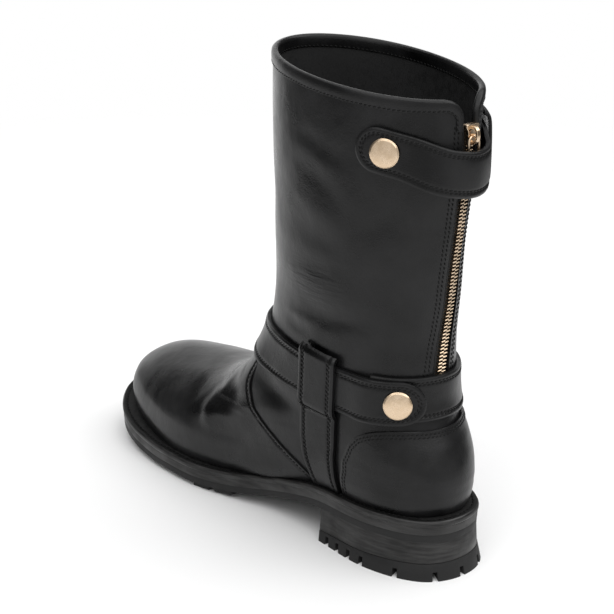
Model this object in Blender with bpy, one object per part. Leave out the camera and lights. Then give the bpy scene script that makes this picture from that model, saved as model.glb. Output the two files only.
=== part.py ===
"""A left back-zip buckle boot in black leather on a welted sole with a lugged heel.

The toe points along -Y, the wearer's left (outer) side is +X, the floor is Z = 0, and the origin lies
under the middle of the sole. Lengths are in metres.
"""

import math

import bmesh
import bpy
import numpy as np

MM = 0.001

# Driving dimensions of the sole
SOLE_LENGTH = 288 * MM
HEEL_LENGTH = 76 * MM
HEEL_FLARE = 2.5 * MM
HEEL_END_RADIUS = 35 * MM
TOE_END_RADIUS = 48 * MM
OUTSOLE_THICKNESS = 4.0 * MM
MIDSOLE_THICKNESS = 4.2 * MM
WELT_THICKNESS = 3.5 * MM
LAYER_GAP = 0.3 * MM

# Driving dimensions of the heel block
LIFT_BACK = 11.5 * MM
LIFT_BREAST = 7.0 * MM
STACK_TAPER = 1.6 * MM
NOTCH_WIDTH = 3.4 * MM
NOTCH_DEPTH = 9.0 * MM
NOTCH_HEIGHT = 5.0 * MM
NOTCH_PLACES = (7, 16, 25.5, 35.5, 58, 81)

# Driving dimensions of the tread and the layers' edges
LUG_HEIGHT = 3.0 * MM
LUG_ROWS = 8
LUG_START = 0.50
LUG_END = 0.955
LUG_GROOVE = 4.0 * MM
EDGE_STEP = 0.9 * MM
WELT_WIDTH = 13.5 * MM
INSOLE_THICKNESS = 3.0 * MM
FEATHER_GAP = 0.5 * MM

# Driving dimensions of the upper, its overlays and straps
WALL = 2.2 * MM
SKIN_GAP = 0.4 * MM
VAMP_STEP = 1.3 * MM
COUNTER_THICKNESS = 1.1 * MM
COUNTER_GAP = 0.7 * MM
BINDING_THICKNESS = 1.0 * MM
BINDING_GAP = 0.65 * MM
BINDING_WIDTH = 7.0 * MM
STRAP_THICKNESS = 2.2 * MM
TOP_STRAP_WIDTH = 22.0 * MM
ANKLE_STRAP_WIDTH = 25.0 * MM
STRAP_LIFT = 0.6 * MM
HARNESS_THICKNESS = 2.2 * MM
KEEPER_THICKNESS = 2.0 * MM
KEEPER_GAP = 0.6 * MM
TAPE_GAP = 0.6 * MM
SNAP_RADIUS = 8.0 * MM
SNAP_HEIGHT = 2.6 * MM

# Driving dimensions of the zip
SLOT_HALF = 6.2 * MM
SLOT_CORNER = 11.0 * MM
SLOT_FOOT = 9.0
CHAIN_WIDTH = 6.0 * MM
CHAIN_THICKNESS = 2.0 * MM
TAPE_WIDTH = 21.0 * MM
TAPE_THICKNESS = 0.9 * MM
ZIP_TOP = 13.12
PULL_LENGTH = 13.0 * MM
PULL_WIDTH = 7.0 * MM
PULL_ROD = 1.4 * MM

# Plan of the sole: share of the length from the heel, middle line (+ is outwards), half width
PLAN_COLUMNS = ("station", "middle", "half_width")
SOLE_PLAN = (
    (0.05, 0.0 * MM, 25.5 * MM),
    (0.15, 0.2 * MM, 34.4 * MM),
    (0.27, 1.0 * MM, 33.6 * MM),
    (0.40, 3.0 * MM, 33.2 * MM),
    (0.52, 3.0 * MM, 41.5 * MM),
    (0.62, 1.8 * MM, 49.4 * MM),
    (0.70, 0.4 * MM, 51.8 * MM),
    (0.80, -0.4 * MM, 51.0 * MM),
    (0.90, -0.4 * MM, 43.5 * MM),
    (0.96, -0.4 * MM, 30.5 * MM),
)

# Underside of the outsole along the length: heel seat, arch, flat tread at the ball, toe spring
UNDERSIDE_COLUMNS = ("station", "height")
UNDERSIDE = (
    (0.00, 22.0 * MM),
    (0.10, 21.6 * MM),
    (0.20, 20.6 * MM),
    (0.275, 19.4 * MM),
    (0.35, 15.4 * MM),
    (0.43, 9.6 * MM),
    (0.50, 5.6 * MM),
    (0.57, 3.4 * MM),
    (0.62, 3.0 * MM),
    (0.72, 3.0 * MM),
    (0.80, 4.4 * MM),
    (0.88, 7.6 * MM),
    (0.95, 11.8 * MM),
    (1.00, 15.5 * MM),
)

# Sections of the upper from the welt to the collar. Back and front are each section's two ends on the
# side outline, as a distance from the heel end and a height. Follow is how much the section takes on the
# sole's curve. The breadths are the half widths of the ellipse that the section follows at these shares
# of its way from back to front.
SECTION_SHARES = (0.0, 0.1, 0.3, 0.5, 0.7, 0.9, 1.0)
SECTION_COLUMNS = ("name", "back", "back_z", "front", "front_z", "follow", "breadths")
UPPER_SECTIONS = (
    ("feather", 7.4, 34.5, 278.0, 28.0, 1.00, (57, 46, 31.0, 35.0, 49.5, 60, 75)),
    ("wall", 6.0, 41.0, 280.0, 35.0, 1.00, (60, 49, 34.0, 37.5, 51.0, 62, 78)),
    ("crown", 5.5, 45.5, 277.0, 44.0, 0.95, (60, 50, 36.0, 38.0, 50.5, 60, 75)),
    ("toe_top", 5.5, 49.5, 266.0, 52.0, 0.90, (60, 50, 37.5, 37.0, 47.2, 54, 58)),
    ("vamp_front", 6.0, 53.5, 246.0, 58.0, 0.85, (58, 50, 38.0, 36.8, 42.8, 43.5, 40)),
    ("vamp", 7.0, 57.5, 219.0, 61.0, 0.75, (56, 49, 38.0, 36.8, 40.4, 40.5, 36)),
    ("vamp_back", 8.6, 62.0, 193.0, 63.5, 0.60, (53, 48, 38.0, 36.6, 41.0, 45.5, 41)),
    ("instep", 11.6, 69.0, 173.0, 71.5, 0.40, (48, 46, 38.0, 36.8, 40.0, 47.6, 45)),
    ("throat", 16.8, 80.0, 157.5, 90.0, 0.20, (43, 43, 37.5, 37.0, 39.0, 44.0, 43)),
    ("ankle", 20.5, 98.0, 147.5, 112.0, 0.05, (40, 41, 37.5, 37.0, 37.5, 38.5, 36.5)),
    ("ankle_high", 20.4, 123.0, 144.0, 137.0, 0.0, (39, 39, 38.0, 37.5, 37.0, 36.5, 36)),
    ("shaft_low", 17.8, 156.0, 142.5, 168.0, 0.0, (40, 40, 39.5, 39.5, 39.5, 39.5, 39)),
    ("shaft_mid", 13.4, 194.0, 142.5, 205.0, 0.0, (42, 42, 42.0, 42.0, 42.0, 42, 42)),
    ("shaft_high", 10.4, 230.0, 142.5, 241.0, 0.0, (44, 44, 44.0, 44.0, 44.0, 44, 44)),
    ("collar", 10.4, 257.6, 141.8, 270.0, 0.0, (44.8, 44.8, 44.8, 44.8, 44.8, 44.5, 44)),
)

TOP_LEVEL = len(UPPER_SECTIONS) - 1.0
COLLAR_ROW = 29.5 * MM


def smooth(stations, values, at):
    """A smooth curve through the table's points that never overshoots them, read at the places asked for."""
    stations = np.asarray(stations, float)
    values = np.asarray(values, float)
    at = np.clip(np.asarray(at, float), stations[0], stations[-1])
    steps = np.diff(stations)
    slopes = np.diff(values) / steps
    tangents = np.zeros_like(values)
    tangents[0] = slopes[0]
    tangents[-1] = slopes[-1]
    same_way = slopes[:-1] * slopes[1:] > 0
    before = 2 * steps[1:] + steps[:-1]
    after = steps[1:] + 2 * steps[:-1]
    with np.errstate(divide="ignore", invalid="ignore"):
        mean = (before + after) / (before / slopes[:-1] + after / slopes[1:])
    tangents[1:-1] = np.where(same_way, mean, 0.0)
    i = np.clip(np.searchsorted(stations, at, side="right") - 1, 0, len(steps) - 1)
    h = steps[i]
    t = (at - stations[i]) / h
    return (
        values[i] * (2 * t**3 - 3 * t**2 + 1)
        + h * tangents[i] * (t**3 - 2 * t**2 + t)
        + values[i + 1] * (3 * t**2 - 2 * t**3)
        + h * tangents[i + 1] * (t**3 - t**2)
    )


def column(table, columns, name):
    return [row[columns.index(name)] for row in table]


def foot_y(distance):
    """Y of a place that far from the heel end of the sole."""
    return (SOLE_LENGTH - HEEL_FLARE) / 2 - distance


def middle_line(distance):
    stations = [0.0] + column(SOLE_PLAN, PLAN_COLUMNS, "station") + [1.0]
    middles = column(SOLE_PLAN, PLAN_COLUMNS, "middle")
    return smooth(stations, [middles[0]] + middles + [middles[-1]], np.asarray(distance) / SOLE_LENGTH)


def underside(distance):
    """Height of the outsole's underside above the floor."""
    return smooth(
        column(UNDERSIDE, UNDERSIDE_COLUMNS, "station"),
        column(UNDERSIDE, UNDERSIDE_COLUMNS, "height"),
        np.asarray(distance) / SOLE_LENGTH,
    )


MIDSOLE_BASE = OUTSOLE_THICKNESS + LAYER_GAP
WELT_BASE = MIDSOLE_BASE + MIDSOLE_THICKNESS + LAYER_GAP
WELT_TOP = WELT_BASE + WELT_THICKNESS


def welt_top(distance):
    return underside(distance) + WELT_TOP


def sole_outline(angle, inset=0.0):
    """(x, distance from the heel) on the sole's outline: angle 0 is the heel, a quarter turn the outside."""
    def rim(turn):
        share = (1 - np.cos(turn)) / 2
        stations = np.array(column(SOLE_PLAN, PLAN_COLUMNS, "station"))
        round_part = 2 * np.sqrt(stations * (1 - stations))
        breadths = np.array(column(SOLE_PLAN, PLAN_COLUMNS, "half_width")) / round_part
        heel_end = math.sqrt(HEEL_END_RADIUS * SOLE_LENGTH / 2)
        toe_end = math.sqrt(TOE_END_RADIUS * SOLE_LENGTH / 2)
        breadth = smooth([0, *stations, 1], [heel_end, *breadths, toe_end], share)
        distance = SOLE_LENGTH * share
        return np.stack([middle_line(distance) + breadth * np.sin(turn), distance], -1)

    angle = np.asarray(angle, float)
    step = 1e-3
    along = rim(angle + step) - rim(angle - step)
    along /= np.linalg.norm(along, axis=-1, keepdims=True)
    inwards = np.stack([-along[..., 1], along[..., 0]], -1)
    return rim(angle) + inset * inwards


def section(level):
    """The sizes of the upper's section at a level, counted in rows of the table."""
    rows = np.arange(len(UPPER_SECTIONS))
    sizes = {}
    for name in ("back", "back_z", "front", "front_z", "follow"):
        values = column(UPPER_SECTIONS, SECTION_COLUMNS, name)
        if name.endswith("_z"):
            end = column(UPPER_SECTIONS, SECTION_COLUMNS, name[:-2])[0]
            values[0] = float(welt_top(end * MM) + FEATHER_GAP) / MM
        sizes[name] = smooth(rows, values, level)
    breadths = np.array(column(UPPER_SECTIONS, SECTION_COLUMNS, "breadths"), float)
    sizes["breadths"] = [smooth(rows, breadths[:, k], level) for k in range(breadths.shape[1])]
    return sizes


def upper_point(angle, level):
    """A point on the upper's outside: angle 0 is the back of the heel, a quarter turn the outer side."""
    angle, level = np.broadcast_arrays(np.asarray(angle, float), np.asarray(level, float))
    flat_angle, flat_level = angle.ravel(), level.ravel()
    s = section(flat_level)
    share = (1 - np.cos(flat_angle)) / 2
    back, front = s["back"] * MM, s["front"] * MM
    distance = back + (front - back) * share
    height = (s["back_z"] + (s["front_z"] - s["back_z"]) * share) * MM
    sole_chord = welt_top(back) + (welt_top(front) - welt_top(back)) * share
    height = height + s["follow"] * (welt_top(distance) - sole_chord)
    breadth = np.array(
        [smooth(SECTION_SHARES, row, x) for row, x in zip(np.array(s["breadths"]).T, share)]
    )
    x = middle_line(distance) * s["follow"] + breadth * MM * np.sin(flat_angle)
    points = np.stack([x, foot_y(distance), height], -1)
    return points.reshape(angle.shape + (3,))


def frame_at(angle, level):
    """Point, two tangents and outward normal of the upper's outside."""
    step = 1e-3
    point = upper_point(angle, level)
    around = (upper_point(angle + step, level) - upper_point(angle - step, level)) / (2 * step)
    low = np.maximum(np.asarray(level, float) - step, 0)
    high = np.minimum(np.asarray(level, float) + step, TOP_LEVEL)
    up = (upper_point(angle, high) - upper_point(angle, low)) / (high - low)[..., None]
    normal = np.cross(up, around)
    normal /= np.linalg.norm(normal, axis=-1, keepdims=True)
    return point, around, up, normal


def walk(angle, level, way, steps=3):
    """Where a walk over the upper ends: a start in angle and level, and a way to go in metres."""
    angle = np.array(angle, float)
    level = np.array(level, float)
    for _ in range(steps):
        _, around, up, _ = frame_at(angle, level)
        aa = (around * around).sum(-1)
        au = (around * up).sum(-1)
        uu = (up * up).sum(-1)
        wa = (way * around).sum(-1) / steps
        wu = (way * up).sum(-1) / steps
        det = aa * uu - au * au
        angle = angle + (wa * uu - wu * au) / det
        level = np.clip(level + (wu * aa - wa * au) / det, 0, TOP_LEVEL)
    return angle, level


def angle_at(distance, level):
    """Angle on the outer side of the place that far from the heel end, on the section at a level."""
    s = section(level)
    share = (distance / MM - s["back"]) / (s["front"] - s["back"])
    return np.arccos(1 - 2 * np.clip(share, 0, 1))


def zip_angle(level):
    """The zip's middle line turns a little towards the inner side as it climbs, as in the picture."""
    return np.radians(smooth([8.0, 9.4, 10.9, 14.0], [-1.0, -1.5, -7.0, -7.0], level))


def slot_edge(level):
    """Half angle of the zip slot at a level, opening in a round corner at the collar."""
    level = np.asarray(level, float)
    below_collar = (TOP_LEVEL - level) * COLLAR_ROW
    inside = np.clip(SLOT_CORNER - below_collar, 0, SLOT_CORNER)
    half = SLOT_HALF + SLOT_CORNER - np.sqrt(np.maximum(SLOT_CORNER**2 - inside**2, 0))
    breadth = section(level)["breadths"][0] * MM
    return np.arcsin(np.clip(half / breadth, 0, 0.9))


def material(name, colour, roughness, metallic=0.0):
    made = bpy.data.materials.new(name)
    made.use_nodes = True
    shader = made.node_tree.nodes["Principled BSDF"]
    shader.inputs["Base Color"].default_value = (*colour, 1.0)
    shader.inputs["Roughness"].default_value = roughness
    shader.inputs["Metallic"].default_value = metallic
    return made


def add_object(name, points, faces, finish):
    """A closed mesh object from points and faces, with its faces turned outwards."""
    mesh = bpy.data.meshes.new(name)
    mesh.from_pydata([tuple(p) for p in points], [], [tuple(f) for f in faces])
    body = bmesh.new()
    body.from_mesh(mesh)
    bmesh.ops.remove_doubles(body, verts=body.verts, dist=1e-6)
    bmesh.ops.recalc_face_normals(body, faces=body.faces)
    body.to_mesh(mesh)
    body.free()
    made = bpy.data.objects.new(name, mesh)
    made.data.materials.append(finish)
    bpy.context.scene.collection.objects.link(made)
    return made


def shell(name, outer, inner, faces, finish):
    """A solid between two matching skins: both skins and a rim along their open edges."""
    count = len(outer)
    uses = {}
    for face in faces:
        for a, b in zip(face, face[1:] + face[:1]):
            uses.setdefault((min(a, b), max(a, b)), []).append((a, b))
    rim = [(b, a, a + count, b + count) for ways in uses.values() if len(ways) == 1 for a, b in ways]
    backs = [tuple(count + k for k in reversed(face)) for face in faces]
    return add_object(name, np.concatenate([outer, inner]), list(faces) + backs + rim, finish)


def loft(name, loops, finish):
    """A solid through closed loops of the same number of points, capped at both ends."""
    loops = np.asarray(loops)
    count = loops.shape[1]
    faces = []
    for i in range(len(loops) - 1):
        for k in range(count):
            n = (k + 1) % count
            faces.append((i * count + k, i * count + n, (i + 1) * count + n, (i + 1) * count + k))
    last = (len(loops) - 1) * count
    faces.append(tuple(range(count)))
    faces.append(tuple(last + k for k in reversed(range(count))))
    return add_object(name, loops.reshape(-1, 3), faces, finish)


def apply_boolean(target, cutter, operation):
    """Cut or join one object with another, which stays behind hidden as a wire frame."""
    modifier = target.modifiers.new(operation.title(), "BOOLEAN")
    modifier.operation = operation
    modifier.solver = "EXACT"
    modifier.object = cutter
    cutter.hide_render = True
    cutter.display_type = "WIRE"


def plate(name, outline_low, outline_high, low, high, finish):
    """A plate between two outlines, given as (x, distance) rings that start at the heel, and two heights."""
    def ring(outline, height):
        return np.stack([outline[:, 0], foot_y(outline[:, 1]), height(outline[:, 1])], -1)

    count = len(outline_low)
    points = np.concatenate([ring(outline_low, low), ring(outline_high, high)])
    faces = []
    for k in range(count):
        n = (k + 1) % count
        faces.append((k, n, count + n, count + k))
    for k in range(1, count // 2):
        a, b = k, k + 1
        c, d = count - k - 1, count - k
        strip = (a, b, c, d) if b != c else (a, b, d)
        faces.append(strip)
        faces.append(tuple(count + i for i in reversed(strip)))
    tip = (0, 1, count - 1)
    faces.append(tip)
    faces.append(tuple(count + i for i in reversed(tip)))
    return add_object(name, points, faces, finish)


def full_turn(count):
    return np.arange(count) * 2 * np.pi / count


def make_layer(name, inset, low, high, finish):
    outline = sole_outline(full_turn(48), inset)
    return plate(
        name, outline, outline, lambda d: underside(d) + low, lambda d: underside(d) + high, finish
    )


def make_outsole(finish):
    """Full-length rubber layer whose forefoot carries rows of lugs drawn down from its underside."""
    stations = np.concatenate([np.linspace(0.0, LUG_START, 12), [LUG_END], np.linspace(0.975, 1.0, 3)])
    pitch = (LUG_END - LUG_START) / LUG_ROWS
    groove = LUG_GROOVE / SOLE_LENGTH
    for k in range(LUG_ROWS):
        stations = np.append(stations, LUG_START + k * pitch + groove)
        stations = np.append(stations, LUG_START + (k + 1) * pitch)
    stations = np.unique(np.round(np.concatenate([stations, [0.006, 0.02, 0.994]]), 5))[1:-1]
    turns = np.arccos(1 - 2 * stations)
    outer_side = sole_outline(turns, EDGE_STEP)
    inner_side = sole_outline(-turns, EDGE_STEP)
    shares = (0.0, 0.07, 0.27, 0.31, 0.48, 0.52, 0.69, 0.73, 0.93, 1.0)
    lug_columns = (1, 3, 5, 7)
    tip_heel = sole_outline(0.0, EDGE_STEP)
    tip_toe = sole_outline(np.pi, EDGE_STEP)
    rows = [[a + (b - a) * t for t in shares] for a, b in zip(outer_side, inner_side)]
    width = len(shares)
    flat = np.array([p for row in rows for p in row] + [tip_heel, tip_toe])
    ends = (len(flat) - 2, len(flat) - 1)

    def lifted(extra):
        return np.stack([flat[:, 0], foot_y(flat[:, 1]), underside(flat[:, 1]) + extra], -1)

    count = len(flat)
    faces = []
    lugs = []
    for i in range(len(rows) - 1):
        mid = (stations[i] + stations[i + 1]) / 2
        in_row = LUG_START < mid < LUG_END and stations[i + 1] - stations[i] > groove * 1.05
        for k in range(width - 1):
            quad = (i * width + k, i * width + k + 1, (i + 1) * width + k + 1, (i + 1) * width + k)
            if in_row and k in lug_columns:
                lugs.append(len(faces))
            faces.append(quad)
    last = (len(rows) - 1) * width
    for k in range(width - 1):
        faces.append((k + 1, k, ends[0]))
        faces.append((last + k, last + k + 1, ends[1]))
    top_start = count
    rim = [ends[0]] + [i * width for i in range(len(rows))] + [ends[1]]
    rim += [i * width + width - 1 for i in reversed(range(len(rows)))]
    top_points = lifted(OUTSOLE_THICKNESS)[rim]
    size = len(rim)
    top_faces = []
    for k in range(1, size // 2):
        a, b, c, d = k, k + 1, size - k - 1, size - k
        strip = (a, b, c, d) if b != c else (a, b, d)
        top_faces.append(tuple(top_start + i for i in strip))
    top_faces.append((top_start, top_start + 1, top_start + size - 1))
    sides = []
    for k in range(size):
        n = (k + 1) % size
        sides.append((rim[k], rim[n], top_start + n, top_start + k))
    outsole = add_object(
        "outsole", np.concatenate([lifted(0.0), top_points]), faces + top_faces + sides, finish
    )
    body = bmesh.new()
    body.from_mesh(outsole.data)
    body.faces.ensure_lookup_table()
    chosen = [body.faces[index] for index in lugs]
    for drawn in bmesh.ops.extrude_discrete_faces(body, faces=chosen)["faces"]:
        for vertex in drawn.verts:
            vertex.co.z -= LUG_HEIGHT
    bmesh.ops.recalc_face_normals(body, faces=body.faces)
    body.to_mesh(outsole.data)
    body.free()
    return outsole


def make_welt(finish):
    """A strip all round under the upper's edge, with a softly rounded outer face."""
    turns = full_turn(48)
    section_points = (
        (0.5 * MM, WELT_BASE),
        (0.0, WELT_BASE + 0.9 * MM),
        (0.0, WELT_TOP - 0.9 * MM),
        (0.5 * MM, WELT_TOP),
        (WELT_WIDTH, WELT_TOP),
        (WELT_WIDTH, WELT_BASE),
    )
    rings = []
    for inset, height in section_points:
        outline = sole_outline(turns, inset)
        z = underside(outline[:, 1]) + height
        rings.append(np.stack([outline[:, 0], foot_y(outline[:, 1]), z], -1))
    count, size = len(turns), len(section_points)
    faces = []
    for i in range(size):
        j = (i + 1) % size
        for k in range(count):
            n = (k + 1) % count
            faces.append((i * count + k, i * count + n, j * count + n, j * count + k))
    return add_object("welt", np.concatenate(rings), faces, finish)


def heel_turn():
    """Angle on the outline where the heel block ends."""
    turns = np.linspace(0.2, np.pi / 2, 2000)
    return turns[np.argmin(abs(sole_outline(turns)[:, 1] - HEEL_LENGTH))]


def heel_outline(inset, count=29):
    turns = np.linspace(-heel_turn(), heel_turn(), count)
    outline = sole_outline(turns, inset)
    outline[[0, -1], 1] = HEEL_LENGTH
    middle = count // 2
    return np.concatenate([outline[middle:], outline[:middle]])


def lift_top(distance):
    return LIFT_BACK + (LIFT_BREAST - LIFT_BACK) * np.clip(distance / HEEL_LENGTH, 0, 1)


def heel_block(name, inset_low, inset_high, low, high, finish):
    return plate(name, heel_outline(inset_low), heel_outline(inset_high), low, high, finish)


def make_top_lift(finish):
    """Rubber top piece that flares to the floor, notched all round its lower edge."""
    lift = heel_block(
        "heel_top_lift", -HEEL_FLARE, -0.5 * MM, lambda d: np.zeros_like(d), lift_top, finish
    )
    fine = np.linspace(-heel_turn(), heel_turn(), 400)
    outline = sole_outline(fine, -HEEL_FLARE)
    lengths = np.concatenate([[0], np.cumsum(np.linalg.norm(np.diff(outline, axis=0), axis=1))])
    whole = lengths[-1]
    places = [p * MM for p in NOTCH_PLACES]
    places += [whole - p for p in places] + [whole / 2]
    points, faces = [], []
    for place in sorted(places):
        turn = np.interp(place, lengths, fine)
        rim = sole_outline(turn, -HEEL_FLARE)
        inner = sole_outline(turn, NOTCH_DEPTH - HEEL_FLARE)
        inwards = (inner - rim) / NOTCH_DEPTH
        side = np.array([-inwards[1], inwards[0]]) * NOTCH_WIDTH / 2
        start = rim - inwards * 3 * MM
        base = len(points)
        for z in (-2 * MM, NOTCH_HEIGHT):
            for corner in (start - side, start + side, inner + side, inner - side):
                points.append((corner[0], foot_y(corner[1]), z))
        for quad in ((0, 1, 2, 3), (4, 7, 6, 5), (0, 4, 5, 1), (1, 5, 6, 2), (2, 6, 7, 3), (3, 7, 4, 0)):
            faces.append(tuple(base + q for q in quad))
    cutter = add_object("notch_cutter", points, faces, finish)
    apply_boolean(lift, cutter, "DIFFERENCE")
    return lift


def make_insole(finish):
    turns = full_turn(48)
    point, _, _, normal = frame_at(turns, np.full(48, 0.02))
    inside = point - normal * (WALL + 1.4 * MM)
    outline = np.stack([inside[:, 0], (SOLE_LENGTH - HEEL_FLARE) / 2 - inside[:, 1]], -1)
    return plate(
        "insole", outline, outline, lambda d: welt_top(d) + LAYER_GAP,
        lambda d: welt_top(d) + LAYER_GAP + INSOLE_THICKNESS, finish,
    )


def vamp_seam(level):
    """Angle of the vamp's rear edge, which sweeps from the waist up to the strap."""
    return np.radians(
        smooth(
            [0.0, 0.6, 1.9, 2.9, 3.9, 5.2, 6.5, 7.2, 7.8, 14.0],
            [68.5, 70.1, 74.9, 81.5, 90.3, 102.4, 119.5, 125.5, 127.3, 127.3],
            level,
        )
    )


def make_upper(finish):
    """The boot leg and foot as one hollow wall, with the vamp's edge as a step and a slot for the zip."""
    corner_rows = TOP_LEVEL - np.array([8, 5.5, 3.5, 1.6, 0]) * MM / COLLAR_ROW
    levels = np.concatenate([np.arange(0, 11.01, 0.5), [11.67, 12.33, 13.0, 13.45], corner_rows])
    behind, ahead = 10, 9
    grid_angle, grid_lift = [], []
    for level in levels:
        start = zip_angle(level) + slot_edge(level)
        end = zip_angle(level) - slot_edge(level) + 2 * np.pi
        seam = vamp_seam(level)
        lap = 0.7 * MM / np.linalg.norm(frame_at(seam, level)[1])
        other = 2 * np.pi - seam
        grid_angle.append(np.concatenate([
            np.linspace(start, seam, behind + 1),
            np.linspace(seam + lap, np.pi, ahead + 1),
            np.linspace(np.pi, other - lap, ahead + 1)[1:],
            np.linspace(other, end, behind + 1),
        ]))
        raised = VAMP_STEP * np.clip((8.0 - level) / 0.5, 0, 1)
        lift = np.zeros(len(grid_angle[-1]))
        lift[behind + 1:-(behind + 1)] = raised
        grid_lift.append(lift)
    angles = np.array(grid_angle)
    lifts = np.array(grid_lift)
    rows, columns = angles.shape
    grid_levels = np.repeat(levels[:, None], columns, 1)
    closed_rows = int((levels <= SLOT_FOOT + 1e-6).sum())
    heel_levels = levels[:closed_rows]
    all_angles = np.concatenate([angles.ravel(), zip_angle(heel_levels)])
    all_levels = np.concatenate([grid_levels.ravel(), heel_levels])
    all_lifts = np.concatenate([lifts.ravel(), np.zeros(closed_rows)])
    point, _, _, normal = frame_at(all_angles, all_levels)
    outer = point + normal * all_lifts[:, None]
    inner = point - normal * WALL
    on_welt = all_levels < 1e-6
    outer[on_welt, 2] = point[on_welt, 2]
    inner[on_welt, 2] = point[on_welt, 2]
    faces = []
    for i in range(rows - 1):
        for k in range(columns - 1):
            a = i * columns + k
            faces.append((a, a + 1, a + columns + 1, a + columns))
    back = rows * columns
    for i in range(closed_rows - 1):
        first, last = i * columns, i * columns + columns - 1
        faces.append((back + i, first, first + columns, back + i + 1))
        faces.append((last, back + i, back + i + 1, last + columns))
    return shell("upper", outer, inner, faces, finish)


def make_counter(finish):
    """Heel counter: a skin over the back of the heel with rounded upper corners."""
    levels = np.array([0.2, 0.5, 1, 1.5, 2, 3, 4, 5, 6, 6.7, 7.2, 7.55, 7.8, 7.98, 8.08])
    reach = np.radians(
        smooth(
            [0.0, 2.7, 4.7, 6.4, 7.2, 7.55, 7.8, 7.98, 8.08],
            [53.5, 54.0, 57.4, 60.5, 58.0, 53.5, 47.0, 37.5, 25.0],
            levels,
        )
    )
    columns = 15
    sweep = np.linspace(-1, 1, columns)
    angles = reach[:, None] * sweep[None] + zip_angle(8.0)
    grid_levels = np.repeat(levels[:, None], columns, 1)
    point, _, _, normal = frame_at(angles.ravel(), grid_levels.ravel())
    faces = []
    for i in range(len(levels) - 1):
        for k in range(columns - 1):
            a = i * columns + k
            faces.append((a, a + 1, a + columns + 1, a + columns))
    outer = point + normal * (COUNTER_GAP + COUNTER_THICKNESS)
    return shell("heel_counter", outer, point + normal * COUNTER_GAP, faces, finish)


def make_binding(finish):
    """Folded edge binding round the collar and down both sides of the slit."""
    drop = np.array([17, 13, 10.5, 8, 5.5, 3.5, 1.6]) * MM / COLLAR_ROW
    low = TOP_LEVEL - drop
    turn = np.linspace(0, 1, 37)
    start = zip_angle(TOP_LEVEL) + slot_edge(TOP_LEVEL)
    end = zip_angle(TOP_LEVEL) - slot_edge(TOP_LEVEL) + 2 * np.pi
    angles = np.concatenate(
        [zip_angle(low) + slot_edge(low), start + (end - start) * turn,
         (zip_angle(low) - slot_edge(low) + 2 * np.pi)[::-1]]
    )
    levels = np.concatenate([low, np.full(len(turn), TOP_LEVEL), low[::-1]])
    point, _, _, normal = frame_at(angles, levels)
    along = np.gradient(point, axis=0)
    along /= np.linalg.norm(along, axis=1, keepdims=True)
    inwards = np.cross(along, normal)
    inwards /= np.linalg.norm(inwards, axis=1, keepdims=True)
    if inwards[len(low) + 18, 2] > 0:
        inwards = -inwards
    width = np.full(len(angles), BINDING_WIDTH)
    width[: len(low)] = np.linspace(4.0, 5.5, len(low)) * MM
    width[-len(low):] = np.linspace(5.5, 4.0, len(low)) * MM
    foot_angle, foot_level = walk(angles, levels, inwards * width[:, None], 4)
    foot, _, _, foot_normal = frame_at(foot_angle, foot_level)
    gap, thick = BINDING_GAP, BINDING_THICKNESS
    loops = []
    for p, n, i, f, m in zip(point, normal, inwards, foot, foot_normal):
        loops.append([
            f + m * (gap + thick),
            p + n * (gap + thick) - i * gap,
            p + n * gap * 0.5 - i * (gap + thick),
            p - n * (WALL + gap * 0.5) - i * (gap + thick),
            p - n * (WALL + gap + thick) - i * gap,
            f - m * (WALL + gap + thick),
            f - m * (WALL + gap),
            p - n * (WALL + gap) - i * gap,
            p + n * gap - i * gap,
            f + m * gap,
        ])
    return loft("collar_binding", loops, finish)


def strap(name, turns, line, width, lift, finish, round_ends=(True, True), thickness=STRAP_THICKNESS):
    """A leather strap laid over the upper: its way in angles, its middle line's level and its lift."""
    fine = np.linspace(turns[0], turns[1], 400)
    track = upper_point(fine, line(fine))
    lengths = np.concatenate([[0], np.cumsum(np.linalg.norm(np.diff(track, axis=0), axis=1))])
    whole = lengths[-1]
    half = width / 2
    tip = np.array([0.02, 0.12, 0.35, 0.65, 1.0]) * half
    head = tip if round_ends[0] else np.array([0.0])
    tail = whole - tip[::-1] if round_ends[1] else np.array([whole])
    count = max(2, int((tail[0] - head[-1]) / (7.5 * MM)))
    stops = np.concatenate([head, np.linspace(head[-1], tail[0], count + 1)[1:-1], tail])
    reach = np.full(len(stops), half)
    if round_ends[0]:
        reach[:5] = np.sqrt(half**2 - (half - tip) ** 2)
    if round_ends[1]:
        reach[-5:] = np.sqrt(half**2 - (half - tip) ** 2)[::-1]
    angles = np.interp(stops, lengths, fine)
    levels = line(angles)
    _, around, up, normal = frame_at(angles, levels)
    step = 0.01
    along = upper_point(angles + step, line(angles + step)) - upper_point(angles - step, line(angles - step))
    along /= np.linalg.norm(along, axis=1, keepdims=True)
    across = np.cross(normal, along)
    lifts = lift(angles)[:, None]
    outer, inner = [], []
    for share in (-1.0, 0.0, 1.0):
        a, l = walk(angles, levels, across * (reach * share)[:, None], 4)
        p, _, _, n = frame_at(a, l)
        inner.append(p + n * lifts)
        outer.append(p + n * (lifts + thickness))
    loops = np.stack(outer + inner[::-1], 1)
    return loft(name, loops, finish)


def top_strap_line(angle):
    turn = np.abs(np.degrees(angle - zip_angle(13.0)))
    return smooth([0.0, 20.0, 45.0, 75.0, 120.0], [12.80, 12.86, 13.03, 13.12, 13.12], turn)


def top_strap_lift(angle):
    turn = np.abs(np.degrees(angle - zip_angle(13.0)))
    return smooth([0.0, 12.0, 48.0, 120.0], [5.4, 5.0, STRAP_LIFT / MM, STRAP_LIFT / MM], turn) * MM


def ankle_strap_line(angle):
    turn = np.degrees(angle)
    return smooth([10.0, 40.0, 80.0, 180.0, 280.0, 320.0, 360.0, 415.0],
                  [8.93, 8.80, 8.66, 8.62, 8.66, 8.80, 8.95, 8.83], turn)


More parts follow.
